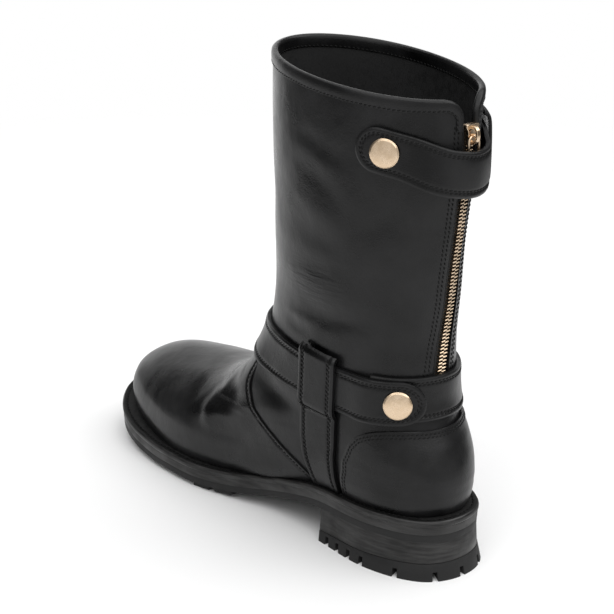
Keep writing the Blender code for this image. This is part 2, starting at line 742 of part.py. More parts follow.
def ankle_strap_lift(angle):
    turn = np.degrees(angle)
    lap = STRAP_LIFT / MM + STRAP_THICKNESS / MM + 0.5
    low = STRAP_LIFT / MM
    turns = [10.0, 44.0, 66.0, 330.0, 352.0, 372.0, 415.0]
    return smooth(turns, [lap, lap, low, low, 1.1, low, low], turn) * MM


def make_harness(name, side, finish):
    """A strap from the sole up the side that bridges over the ankle strap as its keeper."""
    over = STRAP_LIFT + STRAP_THICKNESS + 0.5 * MM
    thick = HARNESS_THICKNESS
    flat = SKIN_GAP + 0.2 * MM
    # Level, lift off the upper and width in millimetres
    path = (
        (0.2, flat, 18.5),
        (0.5, flat, 18.6),
        (1.0, flat, 18.8),
        (1.5, flat, 19.0),
        (2.0, flat, 19.2),
        (3.0, flat, 19.6),
        (4.0, flat, 20.0),
        (5.0, flat, 20.6),
        (6.0, flat, 21.4),
        (6.7, flat, 22.0),
        (7.2, flat, 22.6),
        (7.5, flat, 23.0),
        (7.72, over * 0.75, 23.4),
        (7.95, over, 23.8),
        (8.4, over, 24.4),
        (8.9, over, 25.0),
        (9.25, over, 25.4),
        (9.36, over * 0.7, 25.4),
        (9.42, flat, 25.4),
    )
    cap = ((9.53, flat, 25.0), (9.50, over * 0.6 + thick * 0.5, 25.0), (9.36, over + thick * 0.9, 25.2))
    outer_path = path[:-2] + cap[::-1]
    loops = []
    for share in (-1.0, -0.4, 0.4, 1.0):
        loop = []
        for level, lift, width in path:
            loop.append(harness_point(level, lift, width * share, side))
        for level, lift, width in reversed(outer_path):
            extra = thick if (level, lift, width) not in cap else 0.0
            loop.append(harness_point(level, lift + extra, width * share, side))
        loops.append(loop)
    return loft(name, loops, finish)


def harness_point(level, lift, across, side):
    middle = angle_at(smooth([0.0, 7.0, 9.7], [74.5, 73.0, 71.0], level) * MM, level)
    _, around, _, _ = frame_at(middle, level)
    way = around / np.linalg.norm(around) * across * MM / 2
    a, l = walk(middle, level, way, 3)
    point, _, _, normal = frame_at(a, l)
    point = point + normal * lift
    return point * np.array([side, 1.0, 1.0])


def make_keeper(finish):
    """A loop of leather on the inner side that holds the top strap down."""
    middle_turn = zip_angle(13.0) - np.radians(48)
    half = 0.42
    # Rise in levels from the strap's middle line, and share of the way out to the loop's crown
    inner_side = (
        (-half - 0.20, 0.0),
        (-half - 0.10, 0.6),
        (-half, 1.0),
        (0.0, 1.0),
        (half, 1.0),
        (half + 0.08, 0.6),
        (half + 0.13, 0.0),
    )
    outer_side = (
        (half + 0.21, 0.0),
        (half + 0.17, 0.85),
        (half + 0.03, 1.0),
        (0.0, 1.0),
        (-half - 0.02, 1.0),
        (-half - 0.16, 0.6),
        (-half - 0.30, 0.0),
    )
    loops = []
    for across in (-7.5, -2.5, 2.5, 7.5):
        _, around, _, _ = frame_at(middle_turn, 13.0)
        turn, _ = walk(middle_turn, 13.0, around / np.linalg.norm(around) * across * MM, 3)
        over = float(top_strap_lift(turn)) + STRAP_THICKNESS + KEEPER_GAP
        loop = []
        for side, thick in ((inner_side, 0.0), (outer_side, KEEPER_THICKNESS)):
            for rise, share in side:
                level = min(float(top_strap_line(turn)) + rise, TOP_LEVEL - 0.28)
                p, _, _, n = frame_at(turn, level)
                loop.append(p + n * (SKIN_GAP + share * (over + thick - SKIN_GAP)))
        loops.append(loop)
    return loft("top_strap_keeper", loops, finish)


def make_snap(name, angle, level, lift, finish):
    """A turned metal cap: low dome, rolled edge, flat back."""
    point, around, up, normal = frame_at(angle, level)
    across = around / np.linalg.norm(around)
    rise = np.cross(normal, across)
    profile = ((0.96, 0.0), (1.0, 0.25), (1.0, 0.5), (0.93, 0.72), (0.7, 0.88), (0.36, 0.97))
    seat = point + normal * lift
    count = 20
    rings = []
    for share, height in profile:
        turn = full_turn(count)
        rings.append(
            seat
            + np.outer(np.cos(turn) * share * SNAP_RADIUS, across)
            + np.outer(np.sin(turn) * share * SNAP_RADIUS, rise)
            + normal * height * SNAP_HEIGHT
        )
    points = np.concatenate(rings + [[seat + normal * SNAP_HEIGHT]])
    faces = []
    for i in range(len(profile) - 1):
        for k in range(count):
            n = (k + 1) % count
            faces.append((i * count + k, i * count + n, (i + 1) * count + n, (i + 1) * count + k))
    last = (len(profile) - 1) * count
    faces += [(last + k, last + (k + 1) % count, len(points) - 1) for k in range(count)]
    faces.append(tuple(reversed(range(count))))
    return add_object(name, points, faces, finish)


def zip_strip(name, width, low, high, levels, finish):
    """A strip along the zip's middle line, between two depths measured from the upper's outside."""
    loops = []
    for level in levels:
        middle = zip_angle(level)
        _, around, _, _ = frame_at(middle, level)
        way = around / np.linalg.norm(around)
        loop = []
        for depth, order in ((high, (-1, 0, 1)), (low, (1, 0, -1))):
            for share in order:
                a, l = walk(middle, level, way * share * width / 2, 2)
                p, _, _, n = frame_at(a, l)
                loop.append(p + n * depth)
        loops.append(loop)
    return loft(name, loops, finish)


def box_points(centre, size, taper=1.0):
    """Corners of a box whose upper end is wider or narrower than its lower end."""
    corners = []
    for z, share in ((-1, 1.0), (1, taper)):
        for x, y in ((-1, -1), (1, -1), (1, 1), (-1, 1)):
            corners.append((
                centre[0] + x * size[0] / 2 * share, centre[1] + y * size[1] / 2, centre[2] + z * size[2] / 2
            ))
    return corners


BOX_FACES = ((0, 3, 2, 1), (4, 5, 6, 7), (0, 1, 5, 4), (1, 2, 6, 5), (2, 3, 7, 6), (3, 0, 4, 7))


def slider_seat():
    level = ZIP_TOP + 0.19
    point, _, _, _ = frame_at(zip_angle(level), level)
    return point


def make_slider(finish):
    """Zip slider: a tapered body in the slot with an arched bridge on its face."""
    seat = slider_seat()
    body = add_object(
        "zip_slider", box_points(seat + np.array([0, 0.2, 0]) * MM, (7.0 * MM, 3.6 * MM, 9.5 * MM), 1.2),
        BOX_FACES, finish,
    )
    arch = ((-3.6, 1.6), (-3.6, 3.6), (-2.4, 5.4), (1.2, 6.2), (3.4, 5.2), (4.2, 3.4), (4.2, 1.6),
            (2.6, 1.6), (2.6, 3.2), (1.6, 4.4), (-0.6, 4.4), (-1.9, 3.2), (-1.9, 1.6))
    loops = []
    for x in (-1.2, 1.2):
        loops.append([seat + np.array([x, depth, up]) * MM for up, depth in arch])
    bridge = loft("slider_bridge", loops, finish)
    apply_boolean(body, bridge, "UNION")
    return body


def pull_axis():
    return slider_seat() + np.array([0.0, 2.85, 0.2]) * MM


def make_pull(finish):
    """Ring-shaped zip pull hung through the bridge, with its origin on the swing axis."""
    rod = PULL_ROD / 2
    wide, long = PULL_WIDTH / 2 - rod, PULL_LENGTH - 2 * rod
    rail = [(0.0, 0.0), (0.62, 0.0), (0.9, -0.07), (1.0, -0.22), (1.0, -0.7), (0.86, -0.88), (0.5, -0.98),
            (0.0, -1.0)]
    track = [(x * wide, z * long) for x, z in rail]
    track += [(-x, z) for x, z in reversed(track[1:-1])]
    track = np.array(track)
    count = len(track)
    rings = []
    for k in range(count):
        ahead = track[(k + 1) % count] - track[k - 1]
        side = np.array([ahead[1], -ahead[0]]) / np.linalg.norm(ahead)
        ring = []
        for turn in full_turn(6) + np.pi / 6:
            out = side * math.cos(turn) * rod
            ring.append((track[k][0] + out[0], math.sin(turn) * rod, track[k][1] + out[1]))
        rings.append(ring)
    size = 6
    faces = []
    for i in range(count):
        j = (i + 1) % count
        for k in range(size):
            n = (k + 1) % size
            faces.append((i * size + k, i * size + n, j * size + n, j * size + k))
    pull = add_object("zip_pull", np.concatenate(rings), faces, finish)
    pull.location = tuple(pull_axis())
    return pull


def build():
    leather = material("black_leather", (0.018, 0.018, 0.019), 0.38)
    lining = material("black_lining", (0.022, 0.022, 0.023), 0.75)
    edge = material("burnished_edge", (0.060, 0.055, 0.052), 0.55)
    rubber = material("black_rubber", (0.020, 0.020, 0.021), 0.70)
    gold = material("pale_gold", (0.86, 0.74, 0.55), 0.18, 1.0)
    tape = material("black_tape", (0.012, 0.012, 0.012), 0.85)

    make_top_lift(rubber)
    heel_block(
        "heel_stack", 0.1 * MM, STACK_TAPER, lambda d: lift_top(d) + LAYER_GAP,
        lambda d: underside(d) - LAYER_GAP, edge,
    )
    make_outsole(rubber)
    make_layer("midsole", EDGE_STEP, MIDSOLE_BASE, MIDSOLE_BASE + MIDSOLE_THICKNESS, edge)
    make_welt(edge)
    make_insole(lining)
    make_upper(leather)
    make_counter(leather)
    make_binding(leather)
    top_turn = zip_angle(13.0)
    strap("top_strap", (top_turn - np.radians(84), top_turn + np.radians(69)), top_strap_line,
          TOP_STRAP_WIDTH, top_strap_lift, leather)
    strap("ankle_strap", (np.radians(14), np.radians(408)), ankle_strap_line,
          ANKLE_STRAP_WIDTH, ankle_strap_lift, leather, (True, False))
    make_keeper(leather)
    make_harness("harness_strap_outer", 1.0, leather)
    make_harness("harness_strap_inner", -1.0, leather)
    top_place = np.radians(47.0)
    make_snap("top_snap", top_place, float(top_strap_line(top_place)),
              float(top_strap_lift(top_place)) + STRAP_THICKNESS + 0.5 * MM, gold)
    ankle_place = np.radians(31.2)
    make_snap("ankle_snap", ankle_place, float(ankle_strap_line(ankle_place)),
              float(ankle_strap_lift(ankle_place)) + STRAP_THICKNESS + 0.6 * MM, gold)
    zip_levels = np.concatenate([np.arange(9.05, 12.9, 0.35), [ZIP_TOP]])
    zip_strip("zip_tape", TAPE_WIDTH, -WALL - TAPE_GAP - TAPE_THICKNESS, -WALL - TAPE_GAP,
              np.append(zip_levels, 13.42), tape)
    zip_strip("zip_chain", CHAIN_WIDTH, -CHAIN_THICKNESS, 0.2 * MM, zip_levels, gold)
    make_slider(gold)
    make_pull(gold)


def main():
    for old in list(bpy.data.objects):
        bpy.data.objects.remove(old, do_unlink=True)
    build()


main()
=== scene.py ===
# %% [markdown]
# # A black boot with a zip up the back
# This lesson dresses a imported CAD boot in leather, rubber and metal. The CAD solids are the frame: they
# say where each piece is. Every piece here is modelled again, finer, in the same place, and then stands
# for its solid. Lengths are in metres, the toe points along -Y and the outer side of the foot is +X.

# %% Load the frame
import math

import bpy
import numpy as np
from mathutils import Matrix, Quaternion, Vector


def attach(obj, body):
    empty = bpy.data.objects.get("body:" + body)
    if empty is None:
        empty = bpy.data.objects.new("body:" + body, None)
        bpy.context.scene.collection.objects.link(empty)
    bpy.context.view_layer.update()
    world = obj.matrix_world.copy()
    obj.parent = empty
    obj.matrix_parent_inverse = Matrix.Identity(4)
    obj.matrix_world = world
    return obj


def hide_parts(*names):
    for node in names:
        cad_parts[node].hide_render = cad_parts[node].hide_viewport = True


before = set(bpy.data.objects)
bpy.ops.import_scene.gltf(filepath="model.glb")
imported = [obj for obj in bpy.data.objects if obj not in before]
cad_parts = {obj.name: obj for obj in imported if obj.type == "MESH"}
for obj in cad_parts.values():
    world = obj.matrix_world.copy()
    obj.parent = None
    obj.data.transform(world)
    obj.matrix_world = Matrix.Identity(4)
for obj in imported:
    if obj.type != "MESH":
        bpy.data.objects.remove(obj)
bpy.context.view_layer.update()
MM = 0.001

# %% [markdown]
# ## Camera
# The picture was taken from behind the outer side, a little above the collar, with a long lens. A long
# lens far away keeps the sole and the collar in the same scale. The small shift only frames the boot.

# %% Camera
AZIMUTH, ELEVATION, ROLL = (math.radians(a) for a in (140.2, 18.45, 0.6))
CAMERA_DISTANCE = 0.938
LOOK_AT = Vector((0.0, 0.01525, 0.140))
away = Vector((
    math.sin(AZIMUTH) * math.cos(ELEVATION), -math.cos(AZIMUTH) * math.cos(ELEVATION), math.sin(ELEVATION)
))
bpy.ops.object.select_all(action="DESELECT")
bpy.ops.object.camera_add(location=LOOK_AT + away * CAMERA_DISTANCE)
camera = bpy.context.object
camera.rotation_euler = (away.to_track_quat("Z", "Y") @ Quaternion((0, 0, 1), ROLL)).to_euler()
camera.data.sensor_width = 36.0
camera.data.lens = 96.98
camera.data.shift_x, camera.data.shift_y = -0.0062, -0.0643
camera.data.clip_start = 0.01
bpy.context.scene.camera = camera
print("camera", [round(v, 3) for v in camera.location])

# %% [markdown]
# ## Floor and light
# Black leather is seen by what it mirrors. Here it stands on a pale floor, in front of a white sweep that
# it mirrors on the toe, and the rest of the room is dimmer. The sweep is a soft bright patch of the world,
# because a lamp would leave a hard edge on the leather. The floor fades out at its rim, and the camera
# sees the world as plain white behind it.

# %% Helpers for nodes
def new_finish(name, colour, roughness, **sockets):
    """A principled material with its even values set on the shader's own sockets."""
    made = bpy.data.materials.new(name)
    made.use_nodes = True
    shader = made.node_tree.nodes["Principled BSDF"]
    shader.inputs["Base Color"].default_value = (*colour, 1)
    shader.inputs["Roughness"].default_value = roughness
    for socket, value in sockets.items():
        shader.inputs[socket.replace("_", " ")].default_value = value
    return made, made.node_tree, shader


def add_node(tree, kind, source=None, operation=None, **values):
    """A node of a kind, fed with coordinates, with the values given set on its sockets."""
    node = tree.nodes.new("ShaderNode" + kind)
    if operation:
        node.operation = operation
    for name, value in values.items():
        node.inputs[name.replace("_", " ")].default_value = value
    if source is not None:
        tree.links.new(source, node.inputs["Vector"])
    return node


def map_range(tree, source, span, to=(0.0, 1.0), soft=False):
    """Map a value from one span to another, whose ends may be outputs of other nodes."""
    node = add_node(tree, "MapRange")
    node.interpolation_type = "SMOOTHSTEP" if soft else "LINEAR"
    tree.links.new(source, node.inputs["Value"])
    for name, value in zip(("From Min", "From Max", "To Min", "To Max"), (*span, *to)):
        if isinstance(value, bpy.types.NodeSocket):
            tree.links.new(value, node.inputs[name])
        else:
            node.inputs[name].default_value = value
    return node.outputs["Result"]


# %% Floor
FLOOR_GREY, FLOOR_SIZE = 0.85, 2.6
# Distances from the boot at which the floor starts to fade and is gone
FLOOR_FADE = (0.40, 1.0)
bpy.ops.object.select_all(action="DESELECT")
bpy.ops.mesh.primitive_grid_add(x_subdivisions=4, y_subdivisions=4, size=FLOOR_SIZE, location=(0, 0, 0))
floor = bpy.context.object
floor.name = "floor"
floor_paint, floor_tree, floor_shader = new_finish("floor_paint", (FLOOR_GREY,) * 3, 0.9)
floor_place = add_node(floor_tree, "TexCoord").outputs["Object"]
from_boot = add_node(floor_tree, "VectorMath", floor_place, operation="LENGTH").outputs["Value"]
blend = add_node(floor_tree, "MixShader")
layers = (
    map_range(floor_tree, from_boot, FLOOR_FADE, soft=True),
    floor_shader.outputs[0],
    add_node(floor_tree, "BsdfTransparent").outputs[0],
)
for layer, socket in zip(layers, blend.inputs):
    floor_tree.links.new(layer, socket)
floor_tree.links.new(blend.outputs[0], floor_tree.nodes["Material Output"].inputs["Surface"])
floor.data.materials.append(floor_paint)
print("floor:", FLOOR_SIZE, "m")

# %% World and lamps
bpy.context.scene.view_settings.view_transform = "Standard"
world = bpy.data.worlds.new("studio")
world.use_nodes = True
sky_tree = world.node_tree
sky = sky_tree.nodes["Background"]
sky.inputs["Color"].default_value = (1, 1, 1, 1)
SKY_DIM, SKY_SEEN = 0.09, 1.0
# The white sweep and the room behind the camera: turn about the boot (0 is the toe, 90 the outer side),
# height angle, angles at which the patch is full and at which it ends, and its strength
PATCHES = ((-22, 0, 14, 40, 1.35), (145, 0, 35, 90, 0.75))


def direction(turn, rise):
    """The way from the boot to a place round it."""
    return Vector((math.sin(turn) * math.cos(rise), -math.cos(turn) * math.cos(rise), math.sin(rise)))


sky_place = add_node(sky_tree, "TexCoord").outputs["Generated"]
glow = SKY_DIM
for *angles, strength in PATCHES:
    turn, rise, full, end = np.radians(angles)
    towards = add_node(sky_tree, "VectorMath", sky_place, operation="DOT_PRODUCT")
    towards.inputs[1].default_value = direction(turn, rise)
    span = (math.cos(end), math.cos(full))
    glow = map_range(sky_tree, towards.outputs["Value"], span, (glow, strength), soft=True)
# Plain white for the camera
seen = add_node(sky_tree, "LightPath").outputs["Is Camera Ray"]
glow = map_range(sky_tree, seen, (0.0, 1.0), (glow, SKY_SEEN), soft=True)
sky_tree.links.new(glow, sky.inputs["Strength"])
bpy.context.scene.world = world

# Name, place as turn about the boot and height angle, distance, size, watts
LAMPS = (
    ("key_lamp", 100, 42, 1.5, 1.0, 3),
    ("back_lamp", 225, 40, 1.6, 0.8, 3),
)
for lamp_name, turn, rise, distance, size, watts in LAMPS:
    way = direction(math.radians(turn), math.radians(rise))
    bpy.ops.object.light_add(type="AREA", location=LOOK_AT + way * distance)
    lamp = bpy.context.object
    lamp.name = lamp_name
    lamp.rotation_euler = way.to_track_quat("Z", "Y").to_euler()
    lamp.data.size = size
    lamp.data.energy = watts
# A wide sky lamp far above keeps the whole floor evenly pale
SUN_LEAN, SUN_ANGLE, SUN_STRENGTH = (-12, -8, 0), 100, 3.1
bpy.ops.object.light_add(type="SUN", location=(0, 0, 3), rotation=np.radians(SUN_LEAN))
bpy.context.object.data.angle = math.radians(SUN_ANGLE)
bpy.context.object.data.energy = SUN_STRENGTH
print("lamps:", len(LAMPS) + 1)

# %% [markdown]
# ## Finishes
# Each material is built from nodes on Object coordinates, so that it sits still on its piece. Leather is
# almost black. Cloudy noise changes its roughness, as wax does on a used boot, and small cells give the
# grain. Low roughness gives the polish. A coat would do it too, but as a smooth film over the grain.

# %% Helpers for materials
def object_coordinates(tree, scale=(1, 1, 1)):
    """Object coordinates, stretched along the axes where a pattern is longer one way."""
    place = add_node(tree, "TexCoord").outputs["Object"]
    return add_node(tree, "Mapping", place, Scale=scale).outputs["Vector"]


def tint(tree, shader, source, dark, light):
    """Let a pattern move the colour between two (position, colour) stops."""
    node = add_node(tree, "ValToRGB")
    for element, (position, colour) in zip(node.color_ramp.elements, (dark, light)):
        element.position, element.color = position, (*colour, 1)
    tree.links.new(source, node.inputs["Fac"])
    tree.links.new(node.outputs["Color"], shader.inputs["Base Color"])


# Values that most of a noise lies between
NOISE_SPAN = (0.38, 0.64)


def roughen(tree, shader, source, low, high):
    """Let a pattern move the roughness between two values."""
    tree.links.new(map_range(tree, source, NOISE_SPAN, (low, high)), shader.inputs["Roughness"])


def raise_bumps(tree, shader, heights):
    """Stack bump nodes: each a pattern, its strength and its depth in metres."""
    normal = None
    for source, strength, depth in heights:
        bump = add_node(tree, "Bump", Strength=strength, Distance=depth)
        tree.links.new(source, bump.inputs["Height"])
        if normal is not None:
            tree.links.new(normal, bump.inputs["Normal"])
        normal = bump.outputs["Normal"]
    tree.links.new(normal, shader.inputs["Normal"])


# %% Leather and lining
# Middle of the wrinkled place in metres, one over its reach along each axis, and wrinkles to the metre
WRINKLE_PLACE, WRINKLE_REACH = (0.038, 0.060, 0.152), (26, 30, 55)
WRINKLE_STRETCH = (60, 60, 520)


def make_leather():
    made, tree, shader = new_finish(
        "black_leather", (0.005, 0.005, 0.0052), 0.4, Specular_IOR_Level=0.27
    )
    place = object_coordinates(tree)
    clouds = add_node(tree, "TexNoise", place, Scale=26.0, Detail=4.0, Roughness=0.55)
    grain = add_node(tree, "TexVoronoi", place, Scale=1150.0)
    pores = add_node(tree, "TexNoise", place, Scale=520.0, Detail=4.0, Roughness=0.6)
    slack = add_node(tree, "TexNoise", place, Scale=95.0, Detail=2.0)
    waves = add_node(tree, "TexNoise", place, Scale=24.0, Detail=3.0, Roughness=0.55)
    # Fine wrinkles where the shaft bends, on the outer side above the ankle
    bend = add_node(tree, "VectorMath", object_coordinates(tree, WRINKLE_REACH), operation="DISTANCE")
    bend.inputs[1].default_value = [p * r for p, r in zip(WRINKLE_PLACE, WRINKLE_REACH)]
    near = map_range(tree, bend.outputs["Value"], (0.3, 1.0), (1.0, 0.0))
    folds = add_node(tree, "TexNoise", object_coordinates(tree, WRINKLE_STRETCH), Scale=1.0, Detail=3.0)
    wrinkles = add_node(tree, "Math", operation="MULTIPLY")
    tree.links.new(folds.outputs["Fac"], wrinkles.inputs[0])
    tree.links.new(near, wrinkles.inputs[1])
    dark, light = (0.34, (0.0008, 0.0008, 0.0009)), (0.68, (0.010, 0.010, 0.0104))
    tint(tree, shader, clouds.outputs["Fac"], dark, light)
    roughen(tree, shader, clouds.outputs["Fac"], 0.25, 0.36)
    raise_bumps(tree, shader, (
        (waves.outputs["Fac"], 0.10, 0.0060),
        (slack.outputs["Fac"], 0.16, 0.0010),
        (wrinkles.outputs["Value"], 0.4, 0.0010),
        (pores.outputs["Fac"], 0.25, 0.00025),
        (grain.outputs["Distance"], 0.22, 0.00018),
    ))
    return made


def make_lining():
    made, tree, shader = new_finish("black_lining", (0.02, 0.02, 0.021), 0.7)
    place = object_coordinates(tree)
    nap = add_node(tree, "TexNoise", place, Scale=300.0, Detail=5.0)
    blotch = add_node(tree, "TexNoise", place, Scale=35.0, Detail=4.0)
    tint(tree, shader, blotch.outputs["Fac"], (0.3, (0.003, 0.003, 0.0031)), (0.75, (0.009, 0.009, 0.0093)))
    roughen(tree, shader, nap.outputs["Fac"], 0.6, 0.8)
    raise_bumps(tree, shader, ((nap.outputs["Fac"], 0.3, 0.0003),))
    return made


LEATHER, LINING = make_leather(), make_lining()
print("made", LEATHER.name, LINING.name)

# %% [markdown]
# The sole's edges are leather layers, sanded, stained and rubbed with wax. The layers run along the
# edge, so the noise is drawn out along the foot and kept thin in height. Rubber is flatter and even.

# %% Sole edge, rubber, metal, tape and thread
def make_edge():
    made, tree, shader = new_finish("burnished_edge", (0.012, 0.0117, 0.0115), 0.45, Specular_IOR_Level=0.36)
    streaks = add_node(
        tree, "TexNoise", object_coordinates(tree, (45, 45, 420)), Scale=1.0, Detail=5.0, Roughness=0.65
    )
    patches = add_node(tree, "TexNoise", object_coordinates(tree), Scale=60.0, Detail=5.0)
    dark, light = (0.38, (0.005, 0.0049, 0.0048)), (0.62, (0.026, 0.0254, 0.0249))
    tint(tree, shader, streaks.outputs["Fac"], dark, light)
    roughen(tree, shader, patches.outputs["Fac"], 0.28, 0.62)
    raise_bumps(tree, shader, (
        (streaks.outputs["Fac"], 0.14, 0.0005),
        (patches.outputs["Fac"], 0.35, 0.0016),
    ))
    return made


def make_rubber():
    made, tree, shader = new_finish("black_rubber", (0.007, 0.007, 0.0072), 0.6, Specular_IOR_Level=0.32)
    place = object_coordinates(tree)
    speckle = add_node(tree, "TexNoise", place, Scale=900.0, Detail=3.0)
    dust = add_node(tree, "TexNoise", place, Scale=70.0, Detail=5.0)
    tint(tree, shader, dust.outputs["Fac"], (0.3, (0.004, 0.004, 0.0042)), (0.75, (0.013, 0.013, 0.013)))
    roughen(tree, shader, dust.outputs["Fac"], 0.5, 0.66)
    raise_bumps(tree, shader, ((speckle.outputs["Fac"], 0.25, 0.0002),))
    return made


def make_tape():
    made, tree, shader = new_finish("black_tape", (0.01, 0.01, 0.01), 0.85)
    place = object_coordinates(tree)
    ribs = add_node(tree, "TexWave", place, Scale=420.0, Distortion=0.6)
    fuzz = add_node(tree, "TexNoise", place, Scale=1400.0, Detail=2.0)
    tint(tree, shader, ribs.outputs["Fac"], (0.2, (0.006, 0.006, 0.006)), (0.8, (0.016, 0.016, 0.0165)))
    raise_bumps(tree, shader, ((ribs.outputs["Fac"], 0.5, 0.0003), (fuzz.outputs["Fac"], 0.3, 0.0002)))
    return made


def make_plain(made, scale, detail, dark, light, bump, gloss=None):
    """A finish with one noise, which moves its colour and its roughness and raises its bumps."""
    made, tree, shader = made
    cloud = add_node(tree, "TexNoise", object_coordinates(tree), Scale=scale, Detail=detail).outputs["Fac"]
    tint(tree, shader, cloud, dark, light)
    if gloss:
        roughen(tree, shader, cloud, *gloss)
    raise_bumps(tree, shader, ((cloud, *bump),))
    return made


EDGE, RUBBER, TAPE = make_edge(), make_rubber(), make_tape()
GOLD = make_plain(
    new_finish("pale_gold", (0.74, 0.57, 0.40), 0.2, Metallic=1.0), 260.0, 4.0,
    (0.3, (0.62, 0.47, 0.32)), (0.7, (0.74, 0.58, 0.42)), (0.05, 0.0003), gloss=(0.18, 0.30),
)
THREAD = make_plain(
    new_finish("black_thread", (0.003, 0.003, 0.003), 0.65, Specular_IOR_Level=0.2), 1600.0, 2.0,
    (0.3, (0.0015, 0.0015, 0.0015)), (0.7, (0.006, 0.006, 0.006)), (0.4, 0.0002),
)
# The welt's top ledge: duller and darker than its burnished rim
LEDGE = make_plain(
    new_finish("dull_leather", (0.005, 0.005, 0.005), 0.6, Specular_IOR_Level=0.18), 320.0, 4.0,
    (0.3, (0.002, 0.002, 0.002)), (0.7, (0.010, 0.010, 0.010)), (0.4, 0.0006),
)
print("finishes:", [m.name for m in (LEATHER, LINING, EDGE, RUBBER, GOLD, TAPE, THREAD, LEDGE)])

# %% [markdown]
# ## The last
# A boot is drawn over a last, a solid foot shape. Here the last is a table of sections from the welt to
# the collar. A place on the upper is an angle round the foot (0 at the back of the heel, a quarter turn
# at the outer side) and a level (the row of the table). These are the same numbers as in the CAD part,
# so what is laid over this surface lies where its solid is.

# %% Sizes of the sole and the upper
SOLE_LENGTH, HEEL_LENGTH, HEEL_FLARE = 288 * MM, 76 * MM, 2.5 * MM
HEEL_END_RADIUS, TOE_END_RADIUS = 35 * MM, 48 * MM
OUTSOLE_THICKNESS, MIDSOLE_THICKNESS, WELT_THICKNESS = 4.0 * MM, 4.2 * MM, 3.5 * MM
LAYER_GAP = 0.3 * MM
MIDSOLE_BASE = OUTSOLE_THICKNESS + LAYER_GAP
WELT_BASE = MIDSOLE_BASE + MIDSOLE_THICKNESS + LAYER_GAP
WELT_TOP = WELT_BASE + WELT_THICKNESS
FEATHER_GAP = 0.5 * MM
WALL = 2.2 * MM

# Share of the length from the heel, middle line and half width in millimetres
SOLE_PLAN = np.array((
    (0.05, 0.0, 25.5), (0.15, 0.2, 34.4), (0.27, 1.0, 33.6), (0.40, 3.0, 33.2), (0.52, 3.0, 41.5),
    (0.62, 1.8, 49.4), (0.70, 0.4, 51.8), (0.80, -0.4, 51.0), (0.90, -0.4, 43.5), (0.96, -0.4, 30.5),
))
# Share of the length and height of the outsole's underside in millimetres
UNDERSIDE = np.array((
    (0.00, 22.0), (0.10, 21.6), (0.20, 20.6), (0.275, 19.4), (0.35, 15.4), (0.43, 9.6), (0.50, 5.6),
    (0.57, 3.4), (0.62, 3.0), (0.72, 3.0), (0.80, 4.4), (0.88, 7.6), (0.95, 11.8), (1.00, 15.5),
))
SECTION_SHARES = (0.0, 0.1, 0.3, 0.5, 0.7, 0.9, 1.0)
# Back end and its height, front end and its height, how far the section follows the sole's curve, and
# the half widths at the shares above
SECTIONS = np.array((
    (7.4, 34.5, 278.0, 28.0, 1.00, 57, 46, 31.0, 35.0, 49.5, 60, 75),
    (6.0, 41.0, 280.0, 35.0, 1.00, 60, 49, 34.0, 37.5, 51.0, 62, 78),
    (5.5, 45.5, 277.0, 44.0, 0.95, 60, 50, 36.0, 38.0, 50.5, 60, 75),
    (5.5, 49.5, 266.0, 52.0, 0.90, 60, 50, 37.5, 37.0, 47.2, 54, 58),
    (6.0, 53.5, 246.0, 58.0, 0.85, 58, 50, 38.0, 36.8, 42.8, 43.5, 40),
    (7.0, 57.5, 219.0, 61.0, 0.75, 56, 49, 38.0, 36.8, 40.4, 40.5, 36),
    (8.6, 62.0, 193.0, 63.5, 0.60, 53, 48, 38.0, 36.6, 41.0, 45.5, 41),
    (11.6, 69.0, 173.0, 71.5, 0.40, 48, 46, 38.0, 36.8, 40.0, 47.6, 45),
    (16.8, 80.0, 157.5, 90.0, 0.20, 43, 43, 37.5, 37.0, 39.0, 44.0, 43),
    (20.5, 98.0, 147.5, 112.0, 0.05, 40, 41, 37.5, 37.0, 37.5, 38.5, 36.5),
    (20.4, 123.0, 144.0, 137.0, 0.0, 39, 39, 38.0, 37.5, 37.0, 36.5, 36),
    (17.8, 156.0, 142.5, 168.0, 0.0, 40, 40, 39.5, 39.5, 39.5, 39.5, 39),
    (13.4, 194.0, 142.5, 205.0, 0.0, 42, 42, 42.0, 42.0, 42.0, 42, 42),
    (10.4, 230.0, 142.5, 241.0, 0.0, 44, 44, 44.0, 44.0, 44.0, 44, 44),
    (10.4, 257.6, 141.8, 270.0, 0.0, 44.8, 44.8, 44.8, 44.8, 44.8, 44.5, 44),
))
TOP_LEVEL = len(SECTIONS) - 1.0
# Length of leg, about, between the last two sections
COLLAR_ROW = 29.5 * MM
print("sections:", len(SECTIONS), "sole layers:", round(WELT_TOP / MM, 1), "mm")


# %% Curves through the tables
def smooth(stations, values, at):
    """A smooth curve through a table's points that never overshoots them. The values may be one column,
    or one column for each place asked for."""
    stations, values = np.asarray(stations, float), np.asarray(values, float)
    at = np.clip(np.asarray(at, float), stations[0], stations[-1])
    many = values.ndim == 2
    steps = np.diff(stations)[:, None] if many else np.diff(stations)
    slopes = np.diff(values, axis=0) / steps
    tangents = np.zeros_like(values)
    tangents[0], tangents[-1] = slopes[0], slopes[-1]
    before, after = 2 * steps[1:] + steps[:-1], steps[1:] + 2 * steps[:-1]
    with np.errstate(divide="ignore", invalid="ignore"):
        mean = (before + after) / (before / slopes[:-1] + after / slopes[1:])
    tangents[1:-1] = np.where(slopes[:-1] * slopes[1:] > 0, mean, 0.0)
    i = np.clip(np.searchsorted(stations, at, side="right") - 1, 0, len(stations) - 2)
    h = np.diff(stations)[i]
    t = (at - stations[i]) / h

    def pick(rows, k):
        return rows[k, np.arange(len(at))] if many else rows[k]

    return (
        pick(values, i) * (2 * t**3 - 3 * t**2 + 1) + h * pick(tangents, i) * (t**3 - 2 * t**2 + t)
        + pick(values, i + 1) * (3 * t**2 - 2 * t**3) + h * pick(tangents, i + 1) * (t**3 - t**2)
    )


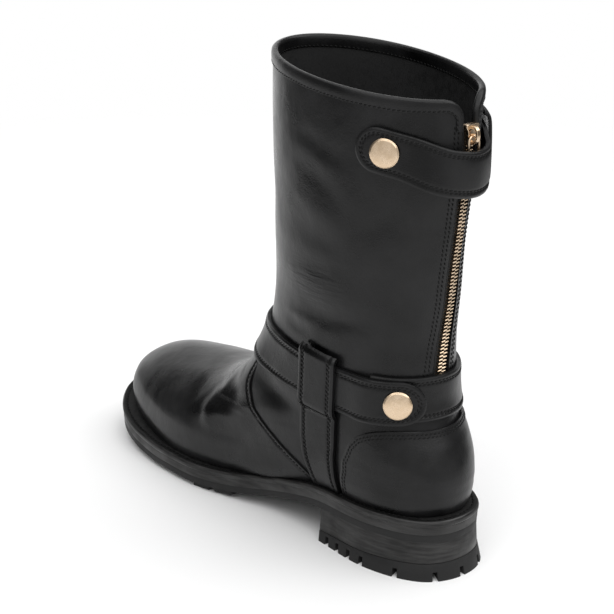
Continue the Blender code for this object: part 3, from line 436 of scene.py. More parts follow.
def unit(ways):
    """The same ways, each of length 1."""
    return ways / np.linalg.norm(ways, axis=-1, keepdims=True)


def lengths_along(points):
    """How far along a line of points each of them is."""
    return np.concatenate([[0], np.cumsum(np.linalg.norm(np.diff(points, axis=0), axis=1))])


def foot_y(distance):
    """Y of a place that far from the heel end of the sole, or that distance of a Y."""
    return (SOLE_LENGTH - HEEL_FLARE) / 2 - distance


def middle_line(distance):
    stations = np.concatenate([[0], SOLE_PLAN[:, 0], [1]])
    middles = SOLE_PLAN[[0, *range(len(SOLE_PLAN)), -1], 1] * MM
    return smooth(stations, middles, np.asarray(distance) / SOLE_LENGTH)


def underside(distance):
    return smooth(UNDERSIDE[:, 0], UNDERSIDE[:, 1] * MM, np.asarray(distance) / SOLE_LENGTH)


def welt_top(distance):
    return underside(distance) + WELT_TOP


def sole_outline(turn, inset=0.0):
    """(x, distance from the heel) on the sole's outline, moved inwards by the inset."""
    def rim(angle):
        share = (1 - np.cos(angle)) / 2
        stations = SOLE_PLAN[:, 0]
        breadths = SOLE_PLAN[:, 2] * MM / (2 * np.sqrt(stations * (1 - stations)))
        ends = [math.sqrt(r * SOLE_LENGTH / 2) for r in (HEEL_END_RADIUS, TOE_END_RADIUS)]
        breadth = smooth([0, *stations, 1], [ends[0], *breadths, ends[1]], share)
        distance = SOLE_LENGTH * share
        return np.stack([middle_line(distance) + breadth * np.sin(angle), distance], -1)

    turn = np.asarray(turn, float)
    along = unit(rim(turn + 1e-3) - rim(turn - 1e-3))
    return rim(turn) + np.asarray(inset)[..., None] * np.stack([-along[..., 1], along[..., 0]], -1)


print("ball of the foot, outer edge:", sole_outline(1.9).round(4))

# %% The surface of the upper
SECTIONS[0, 1] = (welt_top(SECTIONS[0, 0] * MM) + FEATHER_GAP) / MM
SECTIONS[0, 3] = (welt_top(SECTIONS[0, 2] * MM) + FEATHER_GAP) / MM


def upper_point(angle, level):
    """Points on the outside of the upper."""
    angle, level = np.broadcast_arrays(np.asarray(angle, float), np.asarray(level, float))
    turn, flat = angle.ravel(), level.ravel()
    rows = np.arange(len(SECTIONS))
    back, back_z, front, front_z, follow = (smooth(rows, SECTIONS[:, k], flat) for k in range(5))
    share = (1 - np.cos(turn)) / 2
    distance = (back + (front - back) * share) * MM
    chord = welt_top(back * MM) * (1 - share) + welt_top(front * MM) * share
    height = (back_z + (front_z - back_z) * share) * MM + follow * (welt_top(distance) - chord)
    breadths = np.stack([smooth(rows, SECTIONS[:, 5 + k], flat) for k in range(len(SECTION_SHARES))])
    breadth = smooth(SECTION_SHARES, breadths, share) * MM
    x = middle_line(distance) * follow + breadth * np.sin(turn)
    return np.stack([x, foot_y(distance), height], -1).reshape(angle.shape + (3,))


def frame_at(angle, level):
    """Point, way round, way up and outward normal of the upper's outside."""
    angle, level = np.broadcast_arrays(np.asarray(angle, float), np.asarray(level, float))
    step = 1e-3
    around = (upper_point(angle + step, level) - upper_point(angle - step, level)) / (2 * step)
    low, high = np.maximum(level - step, 0), np.minimum(level + step, TOP_LEVEL)
    up = (upper_point(angle, high) - upper_point(angle, low)) / (high - low)[..., None]
    return upper_point(angle, level), around, up, unit(np.cross(up, around))


def skin(angle, level, lift=0.0):
    """Points that far outside the upper."""
    point, _, _, normal = frame_at(angle, level)
    return point + normal * np.asarray(lift)[..., None]


def walk(angle, level, way, steps=3):
    """Where a walk over the upper ends: a start in angle and level, and a way to go in metres."""
    angle, level = np.array(angle, float), np.array(level, float)
    for _ in range(steps):
        _, around, up, _ = frame_at(angle, level)
        aa, au, uu = (around * around).sum(-1), (around * up).sum(-1), (up * up).sum(-1)
        wa, wu = (way * around).sum(-1) / steps, (way * up).sum(-1) / steps
        det = aa * uu - au * au
        angle = angle + (wa * uu - wu * au) / det
        level = np.clip(level + (wu * aa - wa * au) / det, 0, TOP_LEVEL)
    return angle, level


print("toe", upper_point(np.pi, 1.0).round(4), "collar back", upper_point(0.0, TOP_LEVEL).round(4))


# %% Lines on the upper
def zip_angle(level):
    """The zip's middle line turns a little inwards as it climbs."""
    return np.radians(smooth([8.0, 9.4, 10.9, 14.0], [-1.0, -1.5, -7.0, -7.0], level))


SLOT_HALF, SLOT_CORNER = 6.2 * MM, 11.0 * MM


def slot_edge(level):
    """Half angle of the zip's slot, which opens in a round corner at the collar."""
    below = (TOP_LEVEL - np.asarray(level, float)) * COLLAR_ROW
    inside = np.clip(SLOT_CORNER - below, 0, SLOT_CORNER)
    half = SLOT_HALF + SLOT_CORNER - np.sqrt(np.maximum(SLOT_CORNER**2 - inside**2, 0))
    breadth = smooth(np.arange(len(SECTIONS)), SECTIONS[:, 5], level) * MM
    return np.arcsin(np.clip(half / breadth, 0, 0.9))


def vamp_seam(level):
    """Angle of the vamp's rear edge, which sweeps from the waist up to the ankle strap."""
    return np.radians(smooth(
        [0.0, 0.5, 1.7, 2.6, 3.35, 4.1, 4.9, 5.9, 6.45, 6.9, 7.25, 7.5, 7.75, 8.0, 14.0],
        [64.8, 66.0, 69.5, 73.2, 78.2, 84.7, 93.5, 105.2, 113.4, 120.3, 125.8, 129.0, 131.0, 131.8, 131.8],
        level,
    ))


COUNTER_TOP = 7.98


def counter_reach(level):
    """Half angle that the heel counter covers."""
    return np.radians(smooth(
        [0.0, 2.7, 4.7, 6.4, 7.15, 7.48, 7.72, 7.89, COUNTER_TOP],
        [53.5, 54.0, 57.4, 60.5, 58.0, 53.5, 47.0, 37.5, 25.0], level,
    ))


print("zip at the collar:", np.degrees(zip_angle(TOP_LEVEL)).round(1), "degrees from the back")

# %% [markdown]
# ## Sheets and blocks
# Leather pieces start as a flat grid and rubber pieces as a grid extruded to a block. Each point's x, y
# and z, from 0 to 1, are its shares along, across and through the piece. Moving every point to its place
# on the last then bends the piece as a cutter would lay it. Solidify gives the thickness, and Bevel
# rounds the cut edges.

# %% Helpers for pieces
def make_active(piece):
    bpy.ops.object.select_all(action="DESELECT")
    piece.select_set(True)
    bpy.context.view_layer.objects.active = piece


def start_sheet(name, columns, rows):
    """A flat grid from 0 to 1 both ways."""
    bpy.ops.object.select_all(action="DESELECT")
    bpy.ops.mesh.primitive_grid_add(
        x_subdivisions=columns, y_subdivisions=rows, size=1, location=(0.5, 0.5, 0)
    )
    piece = bpy.context.object
    piece.name = piece.data.name = name
    bpy.ops.object.transform_apply(location=True, rotation=True, scale=True)
    return piece


def start_block(name, columns, rows):
    """The same grid extruded by 1 to a closed block."""
    piece = start_sheet(name, columns, rows)
    bpy.ops.object.mode_set(mode="EDIT")
    bpy.ops.mesh.select_all(action="SELECT")
    bpy.ops.mesh.extrude_region_move(TRANSFORM_OT_translate={"value": (0, 0, 1)})
    bpy.ops.object.mode_set(mode="OBJECT")
    return piece


def shares(piece):
    """The x, y and z of every point, as three arrays."""
    flat = np.empty(len(piece.data.vertices) * 3)
    piece.data.vertices.foreach_get("co", flat)
    return flat.reshape(-1, 3).T


def lay(piece, points, flip=False):
    """Move every point to its place and close what meets. A sheet laid face down is flipped."""
    piece.data.vertices.foreach_set("co", np.asarray(points, float).ravel())
    piece.data.update()
    make_active(piece)
    bpy.ops.object.mode_set(mode="EDIT")
    bpy.ops.mesh.select_all(action="SELECT")
    bpy.ops.mesh.remove_doubles(threshold=0.01 * MM)
    if flip:
        bpy.ops.mesh.flip_normals()
    bpy.ops.object.mode_set(mode="OBJECT")
    return piece


def face_outwards(piece):
    """Recalculate the normals of a closed piece."""
    make_active(piece)
    bpy.ops.object.mode_set(mode="EDIT")
    bpy.ops.mesh.select_all(action="SELECT")
    bpy.ops.mesh.normals_make_consistent(inside=False)
    bpy.ops.object.mode_set(mode="OBJECT")
    return piece


def modify(piece, kind, **settings):
    """Add a modifier and apply it."""
    modifier = piece.modifiers.new(kind.title(), kind)
    for name, value in settings.items():
        setattr(modifier, name, value)
    make_active(piece)
    bpy.ops.object.modifier_apply(modifier=modifier.name)
    return piece


def round_edges(piece, width, angle=50):
    """Round the edges that are sharper than an angle."""
    return modify(
        piece, "BEVEL", width=width, segments=2, limit_method="ANGLE", angle_limit=math.radians(angle)
    )


def thicken(piece, thickness, rounding, **settings):
    """Give a sheet its thickness, inwards from its face, and round its cut edges."""
    modify(piece, "SOLIDIFY", thickness=thickness, offset=-1, use_even_offset=False, **settings)
    return round_edges(piece, rounding) if rounding else piece


def join(piece, others):
    """Make other pieces part of this one."""
    make_active(piece)
    for other in others:
        other.select_set(True)
    bpy.ops.object.join()


def dress(piece, finish, slot, *nodes, body="boot", angle=40):
    """Shade a finished piece, give it its finish and hang it on the frame."""
    make_active(piece)
    bpy.ops.object.shade_smooth_by_angle(angle=math.radians(angle))
    if not piece.data.materials:
        piece.data.materials.append(finish)
    if nodes:
        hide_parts(*nodes)
    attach(piece, body)
    print(piece.name, "faces:", len(piece.data.polygons))
    return piece


# %% [markdown]
# ## Creases
# Where a boot bends in walking, over the ball and at the ankle, the leather folds in soft troughs with
# ridges beside them. They could be sculpted, but a line in the boot's own sizes can be read and changed.
# Each is drawn as angles and levels with a width and a height, and fades at both ends.

# %% Crease lines
# Points as (angle in degrees, level), half width and height in millimetres; a trough has a minus height
CREASES = (
    (((176, 6.45), (153, 6.80), (138, 6.30), (121, 4.95), (109, 3.75), (103, 2.9)), 5.0, 0.9),
    (((158, 7.25), (143, 7.02), (130, 6.60), (119, 5.75), (107, 4.50), (99, 3.4)), 6.5, -0.9),
    (((150, 5.60), (134, 4.90), (119, 3.85), (108, 2.9)), 7.5, -0.7),
    (((119, 4.30), (113, 3.70), (107, 2.90)), 3.0, -0.3),
    (((112, 4.00), (107, 3.40), (102, 2.70)), 3.0, 0.3),
    (((123, 7.72), (108, 7.50), (92, 7.35)), 7.0, -2.0),
    (((112, 6.75), (100, 6.35), (86, 6.10)), 8.0, 0.6),
    (((-24, 11.2), (-36, 12.2), (-42, 13.1)), 15.0, -2.6),
    (((186, 6.45), (208, 6.75), (222, 6.2), (240, 5.0)), 4.2, 1.0),
    (((203, 7.20), (218, 7.00), (230, 6.5), (250, 4.6)), 6.2, -1.2),
    (((210, 5.60), (226, 4.90), (241, 3.8)), 7.5, -0.6),
    (((112, 9.62), (100, 9.66), (88, 9.70)), 2.4, -0.5),
    (((116, 9.85), (103, 9.92), (90, 9.95)), 2.6, 0.45),
    (((110, 9.74), (97, 9.79), (86, 9.83)), 1.6, -0.3),
    (((98, 10.22), (84, 10.20), (68, 10.30), (48, 10.52)), 6.5, -1.5),
    (((106, 12.97), (84, 12.80), (62, 12.72)), 6.5, -0.28),
    (((101, 12.75), (85, 12.63), (72, 12.49)), 5.0, 0.3),
    (((102, 12.50), (85, 12.33), (75, 12.13), (62, 11.86)), 6.5, -0.42),
    (((112, 12.15), (89, 11.88), (66, 11.66)), 7.0, 0.34),
    (((108, 11.54), (85, 11.48), (66, 11.39)), 6.5, -0.36),
    (((112, 11.13), (96, 11.20), (76, 11.27)), 5.5, 0.28),
    (((105, 11.07), (86, 11.02), (66, 11.13)), 5.5, -0.34),
    (((120, 10.66), (93, 10.70), (70, 10.70)), 7.0, 0.4),
    (((70, 11.6), (50, 11.9), (34, 12.05)), 9.0, -0.7),
    (((150, 11.4), (125, 11.9), (105, 12.2)), 10.0, -0.7),
    (((240, 9.75), (258, 9.85), (278, 10.0)), 5.0, -0.9),
    (((255, 10.3), (280, 10.5), (305, 10.7)), 8.0, -1.0),
    (((165, 9.7), (180, 9.66), (198, 9.7)), 4.5, -1.0),
    (((160, 10.15), (182, 10.2), (200, 10.1)), 6.0, -0.8),
)


CREASE_REACH = 90 * MM


def bell(gap, width):
    """A soft bump of height 1 that falls off on both sides of a line."""
    return np.exp(-((gap / width) ** 2))


def crease_lift(points):
    """How far the creases move each point in or out."""
    lift = np.zeros(len(points))
    t = np.linspace(0, 1, 50)
    fade = np.sin(np.pi * np.clip(t, 0.02, 0.98)) ** 0.8
    for line, half_width, height in CREASES:
        knots = np.linspace(0, 1, len(line))
        angles, levels = (smooth(knots, column, t) for column in zip(*line))
        track = upper_point(np.radians(angles), levels)
        near = np.where(np.linalg.norm(points - track.mean(0), axis=1) < CREASE_REACH)[0]
        gaps = np.linalg.norm(points[near, None] - track[None], axis=2)
        lift[near] += height * MM * (fade * bell(gaps, half_width * MM)).max(1)
    return lift


print("creases:", len(CREASES))

# %% [markdown]
# ## Shaft and quarters
# One skin goes round the foot and up the leg, open at the back for the zip. It could be subdivided from
# a tube, but a grid in angles and levels puts the slot's edges and the collar where they belong. It dips
# under the vamp, which lies over it.

# %% Shaft and quarters
# Even steps up the side: the level at each share of the way from the welt to the collar
rise_levels = np.linspace(0, TOP_LEVEL, 300)
rise_track = upper_point(np.radians(110), rise_levels)
rise = lengths_along(rise_track)


def level_at(share, top=TOP_LEVEL):
    whole = np.interp(top, rise_levels, rise)
    return np.interp(share * whole, rise, rise_levels)


def soft_step(value):
    value = np.clip(value, 0, 1)
    return value * value * (3 - 2 * value)


# Levels at which the zip's slot opens and the dip under the vamp ends, each with its ramp in levels
SLOT_START, SLOT_RAMP, DIP_END, DIP_RAMP = 8.85, 0.12, 8.5, 0.25
# The dip's ramp past the seam, and its depth
SEAM_RAMP, VAMP_DIP = np.radians(3), 1.5 * MM


def past_seam(angle, level):
    """How far inside the vamp's rear edges an angle is, on either side of the foot."""
    seam = vamp_seam(level)
    return np.minimum(angle - seam, 2 * np.pi - seam - angle)


quarters = start_sheet("shaft_and_quarters", 230, 165)
along, across, _ = shares(quarters)
level = level_at(across)
opening = slot_edge(level) * soft_step((level - SLOT_START) / SLOT_RAMP)
angle = zip_angle(level) + opening + (2 * np.pi - 2 * opening) * along
dip = soft_step(past_seam(angle, level) / SEAM_RAMP) * soft_step((DIP_END - level) / DIP_RAMP)
points, _, _, normal = frame_at(angle, level)
points -= normal * (VAMP_DIP * dip)[:, None]
points += normal * crease_lift(points)[:, None]
lay(quarters, points, flip=True)
quarters.data.materials.append(LEATHER)
quarters.data.materials.append(LINING)
thicken(quarters, WALL, 0, material_offset=1)
dress(quarters, LEATHER, "black_leather", "upper")

# %% [markdown]
# ## Vamp
# The vamp is the front of the boot in one piece. Its rear edge is skived, folded and stitched over the
# quarters, so it stands a little proud of them, with a groove where the thread pulls it down. It could
# be cut from the skin below, but a grid of its own has columns that run along the curved seam.

# %% Vamp
# The vamp ends under the ankle strap, and its face falls to the upper between two levels
VAMP_TOP, VAMP_THICKNESS, VAMP_FALL = 8.35, 1.2 * MM, (7.5, 8.0)
VAMP_FACE, CUT_ROUNDING = 0.85 * MM, 0.4 * MM
# Way in from the seam to the stitches and on to the groove, and the groove's half width and depth
SEAM_ROW, GROOVE_BEHIND, GROOVE_HALF, SEAM_GROOVE = 2.5 * MM, 0.6 * MM, 0.8 * MM, 0.45 * MM


def vamp_lift(angle, level):
    """Height of the vamp's face over the upper, with the groove of its seam."""
    _, around, _, _ = frame_at(angle, level)
    inside = past_seam(angle, level) * np.linalg.norm(around, axis=-1)
    groove = SEAM_GROOVE * bell(inside - SEAM_ROW - GROOVE_BEHIND, GROOVE_HALF)
    start, end = VAMP_FALL
    return VAMP_FACE * np.clip((end - level) / (end - start), 0, 1) - groove


vamp = start_sheet("vamp", 190, 90)
along, across, _ = shares(vamp)
level = level_at(across, VAMP_TOP)
seam = vamp_seam(level)
# More columns near both seams than over the toe
pace = along - 0.09 * np.sin(2 * np.pi * along)
angle = seam + (2 * np.pi - 2 * seam) * pace
base = upper_point(angle, level)
lay(vamp, skin(angle, level, vamp_lift(angle, level) + crease_lift(base)), flip=True)
thicken(vamp, VAMP_THICKNESS, CUT_ROUNDING)
dress(vamp, LEATHER, "black_leather", "upper")

# %% [markdown]
# ## Heel counter
# A stiff cup of leather over the back of the heel, with rounded upper corners and two rows of stitches.
# A Boolean could cut it from the skin, but a grid that widens with the counter has a cleaner edge.

# %% Heel counter
COUNTER_LIFT, COUNTER_THICKNESS, COUNTER_MIDDLE = 1.8 * MM, 1.1 * MM, zip_angle(8.0)
counter = start_sheet("heel_counter", 110, 64)
along, across, _ = shares(counter)
# More rows at the rounded corners than below
level = np.interp(across, [0, 0.8, 1.0], [0.05, 7.0, COUNTER_TOP])
angle = COUNTER_MIDDLE + counter_reach(level) * (2 * along - 1)
lay(counter, skin(angle, level, COUNTER_LIFT), flip=True)
thicken(counter, COUNTER_THICKNESS, CUT_ROUNDING)
dress(counter, LEATHER, "black_leather", "heel_counter")

# %% [markdown]
# ## Collar binding
# A strip of leather is folded over the raw edge of the collar and down both sides of the slit. It is a
# ring of one cross section, so a grid is closed round that section and drawn along the edge. A bevelled
# curve is quicker, but its section would not lean with the leg.

# %% Collar binding
# Section of the fold: height over the rim and distance from the wall's outside, in millimetres
FOLD_DEPTH = 7.0
FOLD = np.array((
    (-FOLD_DEPTH, 0.1), (-6.9, 0.45), (-6.4, 0.5), (-5.6, 0.55), (-4.2, 0.85), (-1.5, 0.95), (0.2, 0.75),
    (0.85, 0.2), (1.1, -0.5), (1.1, -1.6), (0.85, -2.4), (0.2, -2.9), (-1.5, -3.1), (-4.2, -3.0),
    (-6.4, -2.75), (-6.9, -2.65), (-FOLD_DEPTH, -2.3), (-3.0, -1.1),
))


def collar_track(steps):
    """Angles and levels along the collar's edge, down both sides of the slit at its ends."""
    drop = np.array([17, 15, 13, 11.5, 10.2, 9, 7.8, 6.6, 5.5, 4.4, 3.5, 2.6, 1.6, 0.8, 0.3]) * MM
    low = TOP_LEVEL - drop / COLLAR_ROW
    start, end = (zip_angle(TOP_LEVEL) + s * slot_edge(TOP_LEVEL) for s in (1, -1))
    turn = start + (end + 2 * np.pi - start) * np.linspace(0, 1, steps)
    angles = np.concatenate([
        zip_angle(low) + slot_edge(low), turn, (zip_angle(low) - slot_edge(low) + 2 * np.pi)[::-1]
    ])
    return angles, np.concatenate([low, np.full(steps, TOP_LEVEL), low[::-1]]), len(low)


collar_angle, collar_level, collar_low = collar_track(171)
rim, _, _, rim_normal = frame_at(collar_angle, collar_level)
inwards = unit(np.cross(unit(np.gradient(rim, axis=0)), rim_normal))
if inwards[len(inwards) // 2, 2] > 0:
    inwards = -inwards
from_end = lengths_along(rim)
from_end = np.minimum(from_end, from_end[-1] - from_end) / MM
# The fold narrows towards its ends in the slit
fold_width = smooth([0, 8, 16, 26, 44], [3.8, 4.2, 4.7, 5.3, 6.2], from_end) * MM
foot_angle, foot_level = walk(collar_angle, collar_level, inwards * fold_width[:, None], 4)
foot, _, _, foot_normal = frame_at(foot_angle, foot_level)

binding = start_sheet("collar_binding", len(rim) - 1, len(FOLD))
along, across, _ = shares(binding)
k = np.rint(along * (len(rim) - 1)).astype(int)
j = np.rint(across * len(FOLD)).astype(int) % len(FOLD)
height, depth = FOLD[j, 0:1] * MM, FOLD[j, 1:2] * MM
down = np.clip(-height / (FOLD_DEPTH * MM), 0, 1)
normal = rim_normal[k] * (1 - down) + foot_normal[k] * down
place = rim[k] * (1 - down) + foot[k] * down - inwards[k] * np.maximum(height, 0) + normal * depth
lay(binding, place)
make_active(binding)
bpy.ops.object.mode_set(mode="EDIT")
bpy.ops.mesh.select_all(action="DESELECT")
bpy.ops.mesh.select_non_manifold()
bpy.ops.mesh.edge_face_add()
bpy.ops.object.mode_set(mode="OBJECT")
face_outwards(binding)
dress(binding, LEATHER, "black_leather", "collar_binding", angle=60)

# %% [markdown]
# ## Straps
# Both straps are cut from thick leather with rounded ends. A strap is laid along a line on the upper and
# lifted over what is under it: the zip at the top, the strap's own end at the ankle. Points are closer
# together at its edges, where the leather thins and the thread pulls a groove. A bent bar would be
# simpler, but would not hug the leg.

# %% Strap helpers
STRAP_THICKNESS, STRAP_CUT, STRAP_LIFT, STRAP_STEP = 2.2 * MM, 2.1 * MM, 0.6 * MM, 1.1 * MM
# Two rows of thread lie in one groove: its way in from the edge, and the rows' distance from its middle
STITCH_GAP, STITCH_SPLIT = 3.2 * MM, 0.65 * MM
# Depth and half width of the groove and of the thinned rim
STRAP_GROOVE, STRAP_RIM = (0.4 * MM, 1.0 * MM), (0.5 * MM, 0.7 * MM)


def strap_relief(rim_gap):
    """Height of a strap's face at a distance from its edge: a thinned rim and the stitches' groove."""
    groove = STRAP_GROOVE[0] * bell(rim_gap - STITCH_GAP, STRAP_GROOVE[1])
    return -groove - STRAP_RIM[0] * bell(rim_gap, STRAP_RIM[1])


def strap_place(line, lift, turns):
    """A function from (way along, way across) in metres to points on a strap's face and their normals."""
    fine = np.linspace(turns[0], turns[1], 700)
    track = upper_point(fine, line(fine))
    lengths = lengths_along(track)

    def place(along, across, extra=0.0):
        angles = np.interp(along, lengths, fine)
        levels = line(angles)
        _, _, _, normal = frame_at(angles, levels)
        ahead, behind = (upper_point(angles + step, line(angles + step)) for step in (0.01, -0.01))
        tangent = unit(ahead - behind)
        a, l = walk(angles, levels, np.cross(normal, tangent) * across[:, None], 4)
        point, _, _, normal = frame_at(a, l)
        return point + normal * (lift(angles) + STRAP_THICKNESS + extra)[:, None], normal

    return place, lengths[-1]


def make_strap(name, line, lift, turns, width, square_end=False):
    place, whole = strap_place(line, lift, turns)
    half = width / 2
    piece = start_sheet(name, int(whole / STRAP_STEP), 46)
    along, across, _ = shares(piece)
    share = np.sin((2 * across - 1) * np.pi / 2)
    tip = half * (1 - np.sqrt(np.maximum(1 - share**2, 0)))
    end = whole - (0 if square_end else tip)
    s = tip + along * (end - tip)
    # Distance to the nearest edge
    rim_gap = half * (1 - np.abs(share))
    for from_end in (s,) if square_end else (s, whole - s):
        round_end = half - np.hypot(half - from_end, half * share)
        rim_gap = np.where(from_end < half, np.maximum(round_end, 0), rim_gap)
    points, _ = place(s, half * share, strap_relief(rim_gap))
    thicken(lay(piece, points), STRAP_CUT, CUT_ROUNDING)
    dress(piece, LEATHER, "black_leather", name)
    return place, whole


# %% Top strap
TOP_STRAP_WIDTH, TOP_MIDDLE = 23.6 * MM, zip_angle(13.0)


def top_strap_line(angle):
    return smooth(
        [-120, -75, -45, -20, 0, 20, 45, 75, 120],
        [12.97, 12.95, 12.88, 12.77, 12.73, 12.79, 12.98, 13.09, 13.11], np.degrees(angle - TOP_MIDDLE),
    )


def top_strap_lift(angle):
    return smooth(
        [-120, -48, -28, -9, 0, 12, 48, 120], [0.6, 0.6, 1.6, 5.5, 6.0, 5.5, 0.6, 0.6],
        np.degrees(angle - TOP_MIDDLE),
    ) * MM


top_turns = [TOP_MIDDLE + math.radians(a) for a in (-84, 69)]
top_place, top_length = make_strap(
    "top_strap", top_strap_line, top_strap_lift, top_turns, TOP_STRAP_WIDTH
)

# %% Ankle strap
ANKLE_STRAP_WIDTH, LAP_ROOM = 25 * MM, 0.5 * MM


def ankle_strap_line(angle):
    return smooth([10, 40, 80, 180, 280, 320, 360, 415],
                  [8.93, 8.80, 8.66, 8.62, 8.66, 8.80, 8.95, 8.83], np.degrees(angle))


def ankle_strap_lift(angle):
    low = STRAP_LIFT / MM
    lap = low + STRAP_THICKNESS / MM + LAP_ROOM / MM
    heights = [lap, lap, low, low, 1.1, low, low]
    return smooth([10, 44, 66, 330, 352, 372, 415], heights, np.degrees(angle)) * MM


ankle_turns = [math.radians(a) for a in (14, 408)]
ankle_place, ankle_length = make_strap(
    "ankle_strap", ankle_strap_line, ankle_strap_lift, ankle_turns, ANKLE_STRAP_WIDTH, square_end=True
)

# %% [markdown]
# ## Harness straps and keeper
# A short strap rises from the welt on each side, bridges over the ankle strap and is sewn down above it.
# The keeper on the inner side holds the top strap in the same way. Each is a sheet led along a path of
# levels and heights, which lets it lie flat, climb over a strap and come down again.

# %% Harness straps
HARNESS_OVER, HARNESS_FLAT = STRAP_LIFT + STRAP_THICKNESS + LAP_ROOM, 0.6 * MM
HARNESS_HALF = 11.8 * MM
# Level, width in millimetres, and how far the strap's back rises from flat on the upper to over the strap
HARNESS_PATH = np.array((
    (0.05, 21.6, 0), (1.0, 22.4, 0), (2.0, 23.4, 0), (4.0, 25.0, 0), (6.0, 26.0, 0), (7.0, 26.2, 0),
    (7.52, 26.2, 0), (7.76, 26.0, 0.75), (8.0, 25.8, 1), (8.45, 25.6, 1), (8.95, 25.6, 1), (9.33, 25.8, 1),
    (9.45, 25.8, 0.72), (9.51, 25.8, 0),
))
HARNESS_LIFT = np.where(HARNESS_PATH[:, 2] > 0, HARNESS_PATH[:, 2] * HARNESS_OVER, HARNESS_FLAT)
# A seam across the strap: its place and half width as shares of the way up, and its depth
CROSS_SEAM, CROSS_HALF, CROSS_DEPTH = 0.535, 0.008, 0.5 * MM
# Level and distance of the strap's middle line from the heel, in millimetres
HARNESS_LINE = ((0.0, 3.0, 6.0, 7.5, 9.7), (74.4, 75.6, 75.2, 74.8, 73.4))


def harness_place(way_up, across, extra=0.0):
    """Points on the outer strap's face: a share of the way up its path and a share of its half width."""
    knots = np.linspace(0, 1, len(HARNESS_PATH))
    columns = (HARNESS_PATH[:, 0], HARNESS_PATH[:, 1], HARNESS_LIFT)
    level, width, lift = (smooth(knots, column, way_up) for column in columns)
    rows = np.arange(len(SECTIONS))
    back, front = (smooth(rows, SECTIONS[:, c], level) for c in (0, 2))
    middle = np.arccos(1 - 2 * (smooth(*HARNESS_LINE, level) - back) / (front - back))
    _, around, _, _ = frame_at(middle, level)
    a, l = walk(middle, level, unit(around) * (across * width * MM / 2)[:, None], 3)
    point, _, _, normal = frame_at(a, l)
    return point + normal * (lift + STRAP_THICKNESS + extra)[:, None], normal


for node, side in (("harness_strap_outer", 1), ("harness_strap_inner", -1)):
    harness = start_sheet(node + "_leather", 46, 120)
    along, up, _ = shares(harness)
    share = np.sin((2 * along - 1) * np.pi / 2)
    cross_seam = CROSS_DEPTH * bell(up - CROSS_SEAM, CROSS_HALF)
    points, _ = harness_place(up, share, strap_relief(HARNESS_HALF * (1 - np.abs(share))) - cross_seam)
    lay(harness, points * np.array([side, 1, 1]), flip=side > 0)
    thicken(harness, STRAP_CUT, CUT_ROUNDING)
    dress(harness, LEATHER, "black_leather", node)

# %% Keeper of the top strap
KEEPER_MIDDLE, KEEPER_LEVEL, KEEPER_HIGHEST = TOP_MIDDLE - math.radians(48), 13.0, TOP_LEVEL - 0.28
KEEPER_THICKNESS, KEEPER_ROUNDING = 1.9 * MM, 0.45 * MM
# Width and its part behind the middle, height of the ends' faces and of the crown over the strap
KEEPER_WIDTH, KEEPER_BEHIND, KEEPER_FOOT, KEEPER_CROWN = 19, 7.5, 2.2 * MM, 4.2 * MM
# Rise in levels from the strap's middle line, and share of the way out to the loop's crown
KEEPER_PATH = np.array((
    (-0.68, 0.0), (-0.58, 0.8), (-0.46, 1.25), (0.0, 1.0), (0.42, 0.8), (0.53, 0.6), (0.60, 0.0)
))
keeper = start_sheet("top_strap_keeper", 16, 60)
along, up, _ = shares(keeper)
knots = np.linspace(0, 1, len(KEEPER_PATH))
_, around, _, _ = frame_at(KEEPER_MIDDLE, KEEPER_LEVEL)
way = np.outer(along * KEEPER_WIDTH - KEEPER_BEHIND, unit(around)) * MM
turn, _ = walk(np.full(len(along), KEEPER_MIDDLE), np.full(len(along), KEEPER_LEVEL), way, 3)
crown = top_strap_lift(KEEPER_MIDDLE) + STRAP_THICKNESS + KEEPER_CROWN
level = np.minimum(top_strap_line(turn) + smooth(knots, KEEPER_PATH[:, 0], up), KEEPER_HIGHEST)
lift = KEEPER_FOOT + smooth(knots, KEEPER_PATH[:, 1], up) * (crown - KEEPER_FOOT)
lay(keeper, skin(turn, level, lift), flip=True)
thicken(keeper, KEEPER_THICKNESS, KEEPER_ROUNDING)
dress(keeper, LEATHER, "black_leather", "top_strap_keeper")

# %% [markdown]
# ## Snaps
# The two caps are spun from sheet metal: a low dome with a rolled edge. A grid is closed round the axis
# on the cap's profile. A squashed ball would be quicker, but has no rolled edge.

# %% Snaps
SNAP_RADIUS, SNAP_HEIGHT = 7.8 * MM, 2.3 * MM
# Radius and height as shares of the cap's own
CAP = np.array((
    (0.0, 0.0), (0.93, 0.0), (0.985, 0.10), (1.0, 0.28), (0.99, 0.46), (0.96, 0.58), (0.935, 0.62),
    (0.915, 0.74), (0.86, 0.83), (0.7, 0.90), (0.5, 0.955), (0.25, 0.99), (0.0, 1.0),
))


def make_snap(node, angle, line, lift, gap):
    """A cap on a strap, given by the strap's line and lift, with a gap under it."""
    angle = math.radians(angle)
    point, around, _, normal = frame_at(angle, line(angle))
    point = point + normal * (lift(angle) + STRAP_THICKNESS + gap)
    side = unit(around)
    rise_way = np.cross(normal, side)
    cap = start_sheet(node + "_cap", 72, 48)
    turn, out, _ = shares(cap)
    knots = np.linspace(0, 1, len(CAP))
    radius, height = (np.interp(out, knots, column) for column in CAP.T)
    turn, radius, height = turn * 2 * np.pi, radius * SNAP_RADIUS, height * SNAP_HEIGHT
    round_way = np.outer(np.cos(turn) * radius, side) + np.outer(np.sin(turn) * radius, rise_way)
    face_outwards(lay(cap, point + round_way + np.outer(height, normal)))
    dress(cap, GOLD, "pale_gold", node, angle=60)


make_snap("top_snap", 47.0, top_strap_line, top_strap_lift, 0.3 * MM)
make_snap("ankle_snap", 31.2, ankle_strap_line, ankle_strap_lift, 0.4 * MM)

